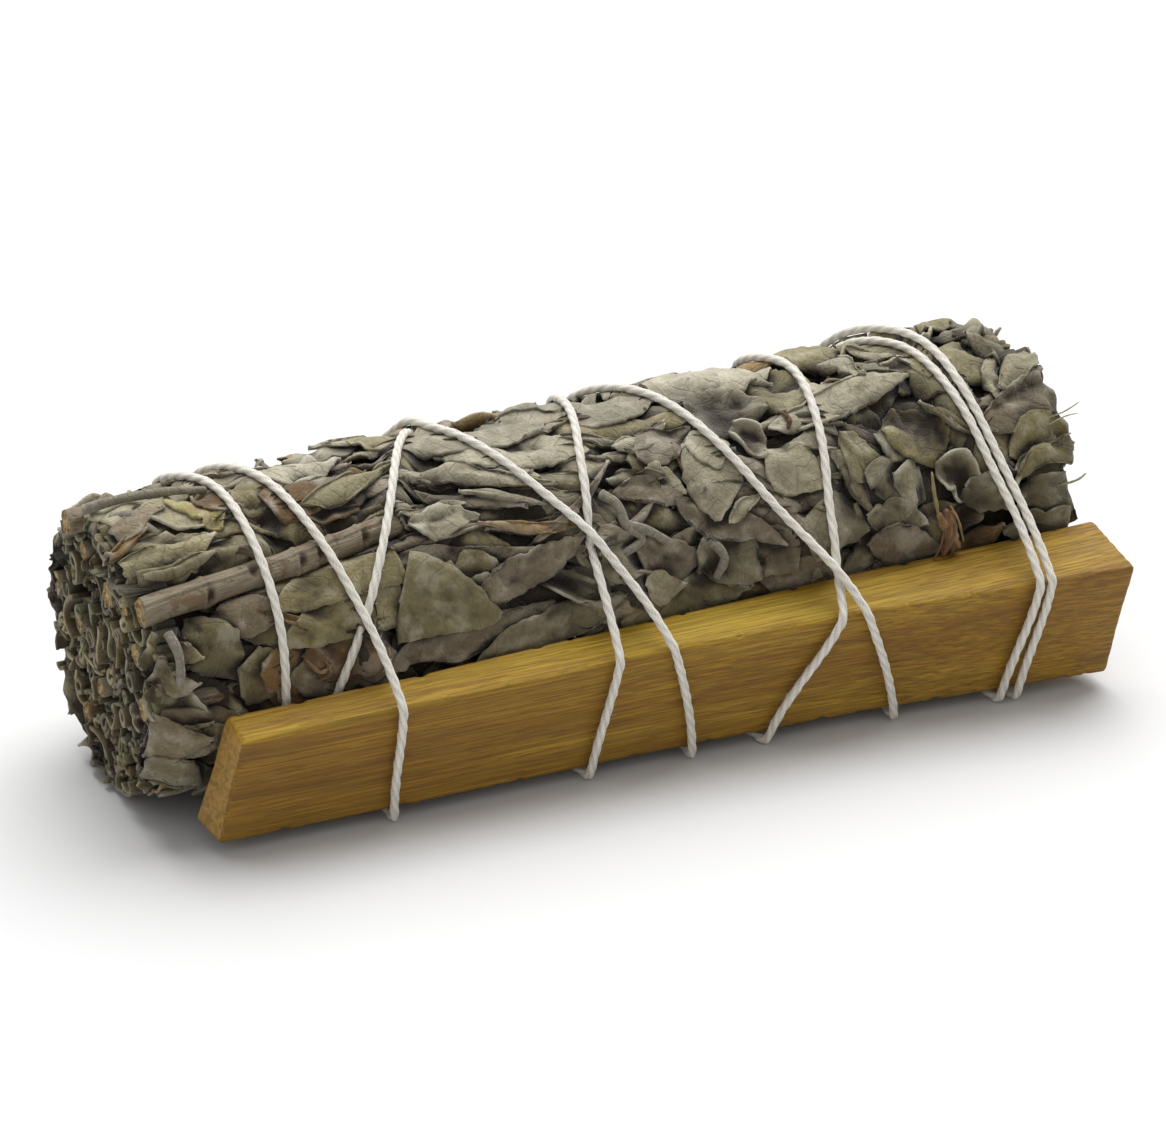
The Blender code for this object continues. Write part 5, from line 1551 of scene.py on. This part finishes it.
def studio_floor():
    """A wide pale floor that the bunch lies on."""
    made, _, shader = new_material("pale_paper_floor")
    shader.inputs["Base Color"].default_value = linear("#D9D9D9")
    shader.inputs["Roughness"].default_value = 0.9
    mesh = bpy.data.meshes.new("floor")
    signs = ((-1, -1), (1, -1), (1, 1), (-1, 1))
    mesh.from_pydata([(FLOOR_REACH * x, FLOOR_REACH * y, 0) for x, y in signs], [],
                     [(0, 1, 2, 3)])
    mesh.materials.append(made)
    floor = bpy.data.objects.new("floor", mesh)
    bpy.context.scene.collection.objects.link(floor)


def overhead_light():
    """A wide soft light from above and a little behind."""
    data = bpy.data.lights.new("overhead_softbox", "SUN")
    data.energy = 3.7
    data.angle = math.radians(62)
    light = bpy.data.objects.new("overhead_softbox", data)
    light.rotation_euler = Vector(LIGHT_HEADING).to_track_quat("-Z", "Y").to_euler()
    bpy.context.scene.collection.objects.link(light)


studio_floor()
overhead_light()
world = bpy.data.worlds.new("soft_surround")
world.use_nodes = True
surround = world.node_tree.nodes["Background"]
surround.inputs["Color"].default_value = linear("#FFFFFF")
surround.inputs["Strength"].default_value = 0.48
bpy.context.scene.world = world
bpy.context.scene.view_settings.view_transform = "Standard"


# The camera stands where the photograph was taken from: 24.5 degrees left of square on and 26
# degrees above, half a metre off, with a lens that frames the bunch and the floor round it.
CAMERA_AZIMUTH = math.radians(-24.5)
CAMERA_ELEVATION = math.radians(26.0)
CAMERA_DISTANCE = 0.550
CAMERA_TARGET = Vector((0.0004, 0.0017, 0.015))
SENSOR_WIDTH = 36.0
FOCAL_PIXELS = 5269
IMAGE_WIDTH = 1166

camera_data = bpy.data.cameras.new("camera")
camera_data.sensor_width = SENSOR_WIDTH
camera_data.lens = SENSOR_WIDTH * FOCAL_PIXELS / IMAGE_WIDTH
camera_data.clip_start = 0.01
camera = bpy.data.objects.new("camera", camera_data)
back = Vector((math.sin(CAMERA_AZIMUTH) * math.cos(CAMERA_ELEVATION),
               -math.cos(CAMERA_AZIMUTH) * math.cos(CAMERA_ELEVATION),
               math.sin(CAMERA_ELEVATION)))
camera.location = CAMERA_TARGET + back * CAMERA_DISTANCE
camera.rotation_euler = (-back).to_track_quat("-Z", "Y").to_euler()
bpy.context.scene.collection.objects.link(camera)
bpy.context.scene.camera = camera
